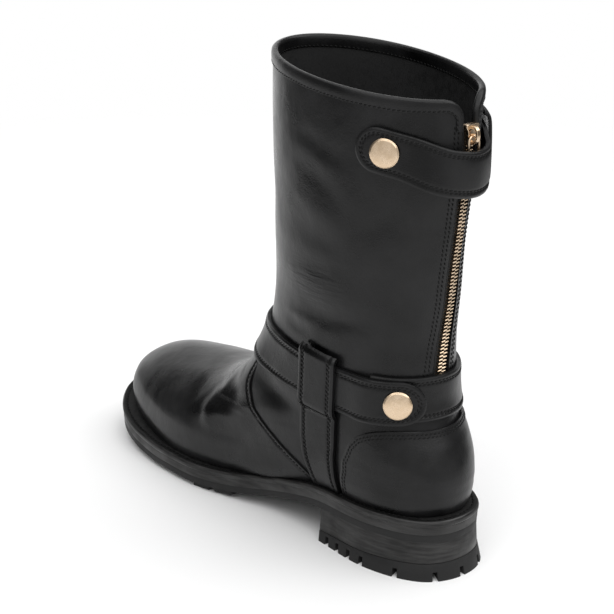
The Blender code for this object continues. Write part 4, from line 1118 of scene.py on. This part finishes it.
# %% [markdown]
# ## Zip
# A woven tape behind the slot carries two rows of metal teeth that mesh. One tooth is modelled from a
# cube, with a thicker head, and copied up both sides, half a step apart. An Array on a curve could do
# it too. Here every copy takes its axes from the upper, so that it stands square on the tape.

# %% Zip tape
# Top level of the chain, lowest and highest level of the tape, and half its width in millimetres
ZIP_TOP, TAPE_LOW, TAPE_HIGH, TAPE_HALF = 13.12, 9.05, 13.42, 10.5
TAPE_THICKNESS = 0.8 * MM


def zip_place(level, across, depth):
    """Points along the zip: a level, a way across in metres and a height over the upper's outside."""
    middle = zip_angle(level)
    _, around, _, _ = frame_at(middle, level)
    a, l = walk(middle, level, unit(around) * np.asarray(across)[..., None], 2)
    return skin(a, l, depth)


tape = start_sheet("zip_tape_weave", 28, 130)
along, up, _ = shares(tape)
across = (2 * along - 1) * TAPE_HALF * MM
depth = np.interp(np.abs(across) / MM, [0, 3.6, 5.4, TAPE_HALF], [-1.7, -1.7, -2.75, -2.85]) * MM
lay(tape, zip_place(TAPE_LOW + up * (TAPE_HIGH - TAPE_LOW), across, depth), flip=True)
thicken(tape, TAPE_THICKNESS, 0)
dress(tape, TAPE, "black_tape", "zip_tape")

# %% Zip teeth
TOOTH_PITCH, TOOTH_SIZE, TOOTH_BEVEL, HEAD_SPREAD = 2.03 * MM, (2.9, 0.8, 2.3), 0.2, 1.2
TOOTH_OUT, TOOTH_DEPTH = 1.52 * MM, -0.95 * MM
# Lowest and highest level of the teeth, and the first tooth's way up from the lowest
TEETH_LOW, TEETH_HIGH, FIRST_TOOTH = 9.0, ZIP_TOP + 0.06, 0.8 * MM
bpy.ops.object.select_all(action="DESELECT")
bpy.ops.mesh.primitive_cube_add(size=1, location=(0, 0, 0))
tooth = bpy.context.object
bpy.ops.object.mode_set(mode="EDIT")
bpy.ops.mesh.select_all(action="SELECT")
bpy.ops.transform.resize(value=TOOTH_SIZE)
bpy.ops.mesh.bevel(offset=TOOTH_BEVEL, segments=1)
bpy.ops.object.mode_set(mode="OBJECT")
tooth_points = shares(tooth).T.copy()
tooth_points[tooth_points[:, 0] < -1.0, 1] *= HEAD_SPREAD


def copies(name, shape, points, seats, axes):
    """One mesh of many copies of a small shape, each with its own seat and its own three axes."""
    placed = seats[:, None] + np.einsum("pk,nkd->npd", points, axes)
    faces = [tuple(face.vertices) for face in shape.data.polygons]
    bpy.data.objects.remove(shape)
    count = len(points)
    all_faces = [tuple(v + n * count for v in face) for n in range(len(seats)) for face in faces]
    mesh = bpy.data.meshes.new(name)
    mesh.from_pydata(placed.reshape(-1, 3).tolist(), [], all_faces)
    piece = bpy.data.objects.new(name, mesh)
    bpy.context.scene.collection.objects.link(piece)
    return face_outwards(piece)


levels = np.linspace(TEETH_LOW, TEETH_HIGH, 1200)
track = zip_place(levels, np.zeros(len(levels)), 0.0)
run = lengths_along(track)
stops = np.arange(FIRST_TOOTH, run[-1], TOOTH_PITCH / 2)
tooth_level = np.interp(stops, run, levels)
side = np.where(np.arange(len(stops)) % 2 == 0, 1.0, -1.0)
seats = zip_place(tooth_level, side * TOOTH_OUT, TOOTH_DEPTH)
_, around, _, normal = frame_at(zip_angle(tooth_level), tooth_level)
out_way = unit(around) * side[:, None]
tooth_axes = np.stack([out_way, np.cross(out_way, normal), normal], 1)
teeth = copies("zip_teeth", tooth, tooth_points * MM, seats, tooth_axes)
dress(teeth, GOLD, "pale_gold", "zip_chain", angle=30)

# %% [markdown]
# The slider is a tapered body with a bridge on its face, and the pull is a ring hung through the bridge.
# The ring rides on its own body, because it swings. It is a torus drawn out to a long loop, so that its
# rod stays round.

# %% Zip slider
SEAT_LEVEL = ZIP_TOP + 0.19
SEAT = upper_point(zip_angle(SEAT_LEVEL), SEAT_LEVEL)
# Front and foot of the body from its seat, its depth and its height, in millimetres
SLIDER_FRONT, SLIDER_FOOT, SLIDER_DEPTH, SLIDER_HEIGHT = -1.6, -4.6, 3.6, 10.8
# Share of the height and half width in millimetres
SLIDER_SPREAD = ((0, 0.1, 0.6, 0.72, 0.8, 0.95, 1.0), (2.6, 3.0, 3.2, 3.5, 4.5, 4.5, 4.0))
slider = start_block("zip_slider_body", 10, 14)
x, z, y = shares(slider)
x, y = (2 * x - 1) * np.interp(z, *SLIDER_SPREAD), SLIDER_FRONT + y * SLIDER_DEPTH
lay(slider, SEAT + np.stack([x, y, SLIDER_FOOT + z * SLIDER_HEIGHT], -1) * MM)
round_edges(face_outwards(slider), 0.5 * MM)
# The bridge: height and depth of its middle line in millimetres
BRIDGE = np.array(((-3.4, 1.2), (-3.4, 3.0), (-2.2, 4.7), (1.2, 5.5), (3.4, 4.9), (4.5, 3.4), (4.5, 1.2)))
BRIDGE_WIDTH, BRIDGE_THICKNESS = 2.4, 1.4


def bridge_line(t):
    knots = np.linspace(0, 1, len(BRIDGE))
    return np.stack([smooth(knots, column, t) for column in BRIDGE.T], -1)


bridge = start_block("slider_bridge", 40, 6)
t, x, out = shares(bridge)
up, deep = bridge_line(t).T
climb, sink = unit(bridge_line(t + 0.01) - bridge_line(t - 0.01)).T
x, out = (x - 0.5) * BRIDGE_WIDTH, (out - 0.5) * BRIDGE_THICKNESS
lay(bridge, SEAT + np.stack([x, deep + out * climb, up - out * sink], -1) * MM)
round_edges(face_outwards(bridge), 0.3 * MM)
join(slider, [bridge])
dress(slider, GOLD, "pale_gold", "zip_slider")

# %% Zip pull
PULL_AXIS = SEAT + np.array([0.0, 2.85, 0.2]) * MM
# The rod's radius, the loop's half width and length in millimetres, and its shape: 1 is an oval and a
# smaller number is squarer
PULL_ROD, PULL_WIDE, PULL_LONG, PULL_SQUARE = 0.7, 3.6, 10.8, 0.7
# Rod of the torus that the ring starts as, as a share of its radius
RING_ROD = 0.25
bpy.ops.object.select_all(action="DESELECT")
bpy.ops.mesh.primitive_torus_add(
    major_segments=64, minor_segments=14, major_radius=1.0, minor_radius=RING_ROD, location=(0, 0, 0)
)
pull = bpy.context.object
pull.name = pull.data.name = "zip_pull_ring"
x, y, z = shares(pull)
turn = np.arctan2(y, x)
out, deep = (np.hypot(x, y) - 1.0) / RING_ROD, z / RING_ROD


def pull_rail(turn):
    """Middle line of the ring: a long rounded loop."""
    c, s = (np.sign(v) * np.abs(v) ** PULL_SQUARE for v in (np.cos(turn), np.sin(turn)))
    return np.stack([PULL_WIDE * c, (s - 1) * PULL_LONG / 2], -1)


rail = pull_rail(turn)
ahead = unit(pull_rail(turn + 0.02) - pull_rail(turn - 0.02))
place = rail + np.stack([ahead[:, 1], -ahead[:, 0]], -1) * (out * PULL_ROD)[:, None]
face_outwards(lay(pull, PULL_AXIS + np.stack([place[:, 0], deep * PULL_ROD, place[:, 1]], -1) * MM))
dress(pull, GOLD, "pale_gold", "zip_pull", body="pull", angle=70)

# %% [markdown]
# ## Sole
# From the floor up: a rubber outsole with lugs, a leather midsole and the welt that the upper is sewn to.
# Each full-length layer is a block whose length follows the outline and whose height follows the
# underside's curve. An outline could be extruded flat and bent afterwards. Here every point of the block
# takes its height from the curve at once.

# %% Outsole and midsole
def over_plan(plan, height):
    """Points over a plan given as x and distance from the heel."""
    return np.stack([plan[:, 0], foot_y(plan[:, 1]), height], -1)


def across_sole(turn, inset, share):
    """A plan between the sole's two edges, at a share of the way from the inner to the outer one."""
    outer, inner = sole_outline(turn, inset), sole_outline(-turn, inset)
    return inner + (outer - inner) * share[:, None]


def sole_block(name, turns, inset_low, inset_high, low, high, columns=150, rows=22):
    """A block between two heights over the plan of the sole, from one turn of its outline to another."""
    piece = start_block(name, columns, rows)
    along, across, up = shares(piece)
    turn = turns[0] + (turns[1] - turns[0]) * along
    inset_low = inset_low(turn) if callable(inset_low) else inset_low
    inset = inset_low + (inset_high - inset_low) * up
    plan = across_sole(turn, inset, across)
    height = low(plan[:, 1]) * (1 - up) + high(plan[:, 1]) * up
    return face_outwards(lay(piece, over_plan(plan, height)))


FULL = (0.0, np.pi)
# The layers are glued, so the midsole fills the gaps that the solids keep
GLUE = 0.25 * MM
midsole = sole_block(
    "midsole_layer", FULL, 0.55 * MM, 0.35 * MM, lambda d: underside(d) + MIDSOLE_BASE - GLUE,
    lambda d: underside(d) + MIDSOLE_BASE + MIDSOLE_THICKNESS + GLUE,
)
round_edges(midsole, 0.3 * MM, 60)
dress(midsole, EDGE, "burnished_edge", "midsole")
outsole = sole_block(
    "outsole_rubber", FULL, 0.8 * MM, 0.7 * MM, underside, lambda d: underside(d) + OUTSOLE_THICKNESS
)
round_edges(outsole, 0.35 * MM, 60)

# %% [markdown]
# The lugs under the ball are blocks too, each cut to its own piece of the outline, bevelled and joined to
# the outsole. Grooves cut by a Boolean would leave thin slivers. The row ends show below the sole's edge.

# %% Lugs
# Height, inset and how far the lugs reach into the outsole
LUG_HEIGHT, LUG_INSET, LUG_ROOT = 3.0 * MM, 0.9 * MM, 0.6 * MM
# Rows, and in shares of the length their start, their end and the groove between them
LUG_ROWS, LUG_START, LUG_END, LUG_GROOVE = 8, 0.50, 0.955, 4.0 * MM / SOLE_LENGTH
# Lugs of a row in shares of the width
LUG_SPANS = ((0.07, 0.27), (0.31, 0.48), (0.52, 0.69), (0.73, 0.93))
# The first rows reach the edge: their number, how far they reach out, and the rim that is moved
WIDE_ROWS, WIDE_BY, WIDE_EDGE = 2, 0.055, 0.08
lug_pitch = (LUG_END - LUG_START) / LUG_ROWS
lugs = []
for row in range(LUG_ROWS):
    first = LUG_START + row * lug_pitch + LUG_GROOVE
    last = LUG_START + (row + 1) * lug_pitch
    for left, right in LUG_SPANS:
        lug = start_block("lug", 5, 4)
        along, across, up = shares(lug)
        turn = np.arccos(1 - 2 * (first + (last - first) * along))
        wide = WIDE_BY if row < WIDE_ROWS else 0.0
        share = left + (right - left) * across
        share += np.where(share < WIDE_EDGE, -wide, 0) + np.where(share > 1 - WIDE_EDGE, wide, 0)
        plan = across_sole(turn, LUG_INSET, share)
        height = underside(plan[:, 1]) - LUG_HEIGHT + up * (LUG_HEIGHT + LUG_ROOT)
        lugs.append(round_edges(face_outwards(lay(lug, over_plan(plan, height))), 0.6 * MM))
join(outsole, lugs)
dress(outsole, RUBBER, "black_rubber", "outsole")

# %% [markdown]
# The welt is a strip that runs all the way round under the upper. Its outer edge is rounded and
# polished, and its top has a groove for the stitches. A block has no such section, so a grid is closed
# round the section and led along the outline.

# %% Welt
# Inset from the outline and height over the underside, in millimetres, round the strip's section
WELT_SECTION = np.array((
    (0.4, 8.7), (0.1, 9.0), (-0.05, 9.6), (-0.1, 10.4), (0.0, 11.0), (0.3, 11.6), (0.8, 12.05), (1.5, 12.25),
    (2.3, 12.2), (2.8, 11.95), (3.6, 11.95), (4.1, 12.2), (13.5, 12.2), (13.5, 8.7),
))
LEDGE_HEIGHT = 11.9 * MM
welt = start_sheet("welt_strip", 260, len(WELT_SECTION))
along, across, _ = shares(welt)
j = np.rint(across * len(WELT_SECTION)).astype(int) % len(WELT_SECTION)
plan = sole_outline(along * 2 * np.pi, WELT_SECTION[j, 0] * MM)
height = underside(plan[:, 1]) + WELT_SECTION[j, 1] * MM
face_outwards(lay(welt, over_plan(plan, height)))
welt.data.materials.append(EDGE)
welt.data.materials.append(LEDGE)
# The ledge on top is dull and darker than the rim, and the rounded rim is burnished
for face in welt.data.polygons:
    if face.center.z - underside(foot_y(face.center.y)) > LEDGE_HEIGHT:
        face.material_index = 1
dress(welt, EDGE, "burnished_edge", "welt", angle=50)

# %% [markdown]
# The heel is a stack of leather lifts under the sole and a rubber top lift that meets the floor. The
# rubber is notched all round its lower edge. The notches are square and go in from the side, so one
# joined cutter and a Boolean make them all.

# %% Heel stack
def heel_turn():
    """The turn of the sole's outline at the heel's breast."""
    turns = np.linspace(0.2, np.pi / 2, 2000)
    return turns[np.argmin(np.abs(sole_outline(turns)[:, 1] - HEEL_LENGTH))]


LIFT_BACK, LIFT_FRONT = 9.6, 6.6


def lift_top(distance):
    """Height of the rubber lift, which is thinner towards the breast."""
    return (LIFT_BACK + (LIFT_FRONT - LIFT_BACK) * np.clip(distance / HEEL_LENGTH, 0, 1)) * MM


HEEL = (0.0, heel_turn())
stack = sole_block(
    "heel_stack_layers", HEEL, 0.1 * MM, 0.9 * MM, lambda d: lift_top(d) + 0.1 * MM,
    lambda d: underside(d) - 0.1 * MM, 60, 16,
)
round_edges(stack, 0.25 * MM, 60)
dress(stack, EDGE, "burnished_edge", "heel_stack")

# %% Heel top lift
NOTCH_WIDTH, NOTCH_DEPTH, NOTCH_HEIGHT = 3.4 * MM, 9.0 * MM, 5.0 * MM
# How far a cutter stands out of the heel's side and its underside
CUT_OUT, CUT_DOWN = 3 * MM, 2 * MM
# Millimetres along the rim from the breast, on each side
NOTCH_PLACES = (7, 16, 25.5, 35.5, 58, 81)


def flare(turn):
    """The lift spreads most at the back and hardly at the breast."""
    return -HEEL_FLARE + 1.8 * MM * np.clip(turn / HEEL[1], 0, 1) ** 2


lift = sole_block("heel_top_lift_rubber", HEEL, flare, -0.2 * MM, lambda d: 0 * d, lift_top, 70, 16)
fine = np.linspace(-HEEL[1], HEEL[1], 600)
lengths = lengths_along(sole_outline(fine, -HEEL_FLARE))
places = [p * MM for p in NOTCH_PLACES]
places = sorted(places + [lengths[-1] - p for p in places] + [lengths[-1] / 2])
cutters = []
for place in places:
    turn = np.interp(place, lengths, fine)
    rim_point = sole_outline(turn, -HEEL_FLARE)
    inward = (sole_outline(turn, NOTCH_DEPTH - HEEL_FLARE) - rim_point) / NOTCH_DEPTH
    sideways = np.array([-inward[1], inward[0]])
    cutter = start_block("notch", 1, 1)
    x, y, z = shares(cutter)
    # The notch narrows a little towards its roof
    half = (x - 0.5) * NOTCH_WIDTH * (1 - 0.25 * z)
    plan = rim_point + np.outer(y * (NOTCH_DEPTH + CUT_OUT) - CUT_OUT, inward) + np.outer(half, sideways)
    height = z * (NOTCH_HEIGHT + CUT_DOWN) - CUT_DOWN
    cutters.append(face_outwards(lay(cutter, over_plan(plan, height))))
join(cutters[0], cutters)
modify(lift, "BOOLEAN", operation="DIFFERENCE", solver="EXACT", object=cutters[0])
bpy.data.objects.remove(cutters[0])
round_edges(lift, 0.35 * MM, 40)
dress(lift, RUBBER, "black_rubber", "heel_top_lift", angle=30)

# %% [markdown]
# The insole is the board that the foot stands on. It is a block between the two inner walls, a little
# dished, so it fits the last without being trimmed.

# %% Insole
INSOLE_THICKNESS, INSOLE_ROOM, INSOLE_DISH = 2.2 * MM, 1.4 * MM, 0.8 * MM
insole = start_block("insole_board", 90, 18)
along, across, up = shares(insole)
turn = along * np.pi
sides = []
for way in (1, -1):
    point, _, _, normal = frame_at(way * turn, np.full(len(turn), 0.02))
    sides.append(point - normal * (WALL + INSOLE_ROOM))
plan = sides[1] + (sides[0] - sides[1]) * across[:, None]
dish = INSOLE_DISH * (2 * across - 1) ** 2 * up
plan[:, 2] = welt_top(foot_y(plan[:, 1])) + LAYER_GAP + INSOLE_THICKNESS * up + dish
round_edges(face_outwards(lay(insole, plan)), 0.6 * MM, 60)
dress(insole, LINING, "black_lining", "insole")

# %% [markdown]
# ## Stitches
# Thread shows as a row of small raised dashes, each tilted a little to its row, as a lockstitch lies.
# One stitch is a small stretched ball. It is copied along every seam, and all rows are one piece.

# %% Stitch rows
STITCH_PITCH, STITCH_HALF, STITCH_RADIUS, STITCH_TILT = 2.5 * MM, 1.0 * MM, 0.4 * MM, math.radians(18)
bpy.ops.object.select_all(action="DESELECT")
bpy.ops.mesh.primitive_uv_sphere_add(segments=6, ring_count=4, radius=1, location=(0, 0, 0))
dash = bpy.context.object
dash_points = shares(dash).T[:, [2, 0, 1]] * np.array([STITCH_HALF, STITCH_RADIUS, STITCH_RADIUS])
stitch_seats, stitch_axes = [], []


def sew(points, normals, pitch=STITCH_PITCH, start=0.5):
    """Add a row of stitches along a line of points, the first at a share of the pitch."""
    steps = lengths_along(points)
    at = np.arange(pitch * start, steps[-1], pitch)
    seat, normal = (
        np.stack([np.interp(at, steps, column) for column in table.T], -1) for table in (points, normals)
    )
    normal = unit(normal)
    way = unit(np.gradient(seat, axis=0))
    turned = way * math.cos(STITCH_TILT) + np.cross(normal, way) * math.sin(STITCH_TILT)
    stitch_seats.append(seat)
    stitch_axes.append(np.stack([turned, np.cross(normal, turned), normal], 1))


def sew_on_upper(angles, levels, lift, start=0.5):
    point, _, _, normal = frame_at(angles, levels)
    sew(point + normal * np.broadcast_to(lift, np.shape(angles))[:, None], normal, start=start)


def edge_row(angles, levels, inset, lift, start):
    """A row that keeps its distance inside an edge given by angles and levels."""
    point, _, _, normal = frame_at(angles, levels)
    way = np.cross(normal, unit(np.gradient(point, axis=0)))
    sew_on_upper(*walk(angles, levels, way * -inset, 3), lift, start)


print("one stitch:", len(dash_points), "points")


# %% Stitches on the upper
# How far the middle of a stitch is over the leather, or in a strap's groove, under the strap's face
STITCH_RISE, ZIP_STITCH_RISE, STRAP_STITCH_RISE = 0.15 * MM, 0.1 * MM, -0.2 * MM
# Insets of the two rows round the counter, and distances of the rows beside the zip from its middle
COUNTER_ROWS, ZIP_ROWS = (1.9 * MM, 3.7 * MM), (8.6 * MM, 11.0 * MM)
# The collar's rows: a share of the fold's width, and heights over the upper's outside
COLLAR_INSET, COLLAR_OUT, COLLAR_IN = 0.86, 0.5 * MM, -WALL - 0.7 * MM
low_to_high = np.linspace(0.15, 7.95, 90)
seam = vamp_seam(low_to_high)
_, around, _, _ = frame_at(seam, low_to_high)
angles = seam + SEAM_ROW / np.linalg.norm(around, axis=1)
row_lift = vamp_lift(angles, low_to_high) + STITCH_RISE
for row_angles in (angles, 2 * np.pi - angles):
    sew_on_upper(row_angles, low_to_high, row_lift)
rim_levels = np.concatenate([np.linspace(0.3, 7.0, 60), np.linspace(7.05, COUNTER_TOP, 40)])
top_reach = counter_reach(COUNTER_TOP) * np.linspace(0.95, -0.95, 30)
edge_angles = COUNTER_MIDDLE + np.concatenate([
    counter_reach(rim_levels), top_reach, -counter_reach(rim_levels)[::-1]
])
edge_levels = np.concatenate([rim_levels, np.full(len(top_reach), COUNTER_TOP), rim_levels[::-1]])
for inset, start in zip(COUNTER_ROWS, (0.5, 1.0)):
    edge_row(edge_angles, edge_levels, inset, COUNTER_LIFT + 0.02 * MM, start)
levels = np.linspace(9.25, 13.55, 160)
_, _, _, normal = frame_at(zip_angle(levels), levels)
for across_zip in (side * row for side in (1, -1) for row in ZIP_ROWS):
    point = zip_place(levels, np.full(len(levels), across_zip), 0.0)
    sew(point + normal * (crease_lift(point) + ZIP_STITCH_RISE)[:, None], normal)
inner_steps = slice(collar_low, len(rim) - collar_low)
a, l = walk(collar_angle, collar_level, inwards * (fold_width * COLLAR_INSET)[:, None], 4)
sew_on_upper(a, l, COLLAR_OUT)
sew_on_upper(a[inner_steps], l[inner_steps], COLLAR_IN)
print("rows on the upper:", len(stitch_seats))

# %% Stitches on the straps
def strap_rows(place, whole, width, gap, start, square_end=False):
    """A row all round inside the edge of a strap."""
    half = width / 2 - gap
    turn = np.linspace(-np.pi / 2, np.pi / 2, 24)
    far = whole - (gap if square_end else width / 2)
    straight = np.linspace(width / 2, far, 220)
    s = np.concatenate([width / 2 - half * np.cos(turn), straight])
    x = np.concatenate([half * np.sin(turn), np.full(len(straight), half)])
    if not square_end:
        s = np.concatenate([s, far + half * np.cos(turn)])
        x = np.concatenate([x, half * np.sin(turn[::-1])])
    s = np.concatenate([s, straight[::-1]])
    x = np.concatenate([x, np.full(len(straight), -half)])
    sew(*place(s, x, np.full(len(s), STRAP_STITCH_RISE)), start=start)


climb_steps = np.linspace(0.02, 0.97, 160)
for gap, start in ((STITCH_GAP - STITCH_SPLIT, 0.5), (STITCH_GAP + STITCH_SPLIT, 1.0)):
    strap_rows(top_place, top_length, TOP_STRAP_WIDTH, gap, start)
    strap_rows(ankle_place, ankle_length, ANKLE_STRAP_WIDTH, gap, start, square_end=True)
    for side in (1, -1):
        mirror = np.array([side, 1, 1])
        for edge_share in (gap / HARNESS_HALF - 1, 1 - gap / HARNESS_HALF):
            edge = np.full(len(climb_steps), edge_share)
            points, normals = harness_place(climb_steps, edge, STRAP_STITCH_RISE)
            sew(points * mirror, normals * mirror, start=start)
# The welt's stitches: inset, height over the underside and pitch
WELT_ROW, WELT_ROW_HEIGHT, WELT_PITCH = 3.2 * MM, 12.2 * MM, 3.2 * MM
plan = sole_outline(np.linspace(0, 2 * np.pi, 700), WELT_ROW)
row = over_plan(plan, underside(plan[:, 1]) + WELT_ROW_HEIGHT)
sew(row, np.tile([0.0, 0.0, 1.0], (len(row), 1)), WELT_PITCH)
stitches = copies("stitches", dash, dash_points, np.concatenate(stitch_seats), np.concatenate(stitch_axes))
dress(stitches, THREAD, "black_leather", angle=80)
print("stitches:", sum(len(s) for s in stitch_seats))
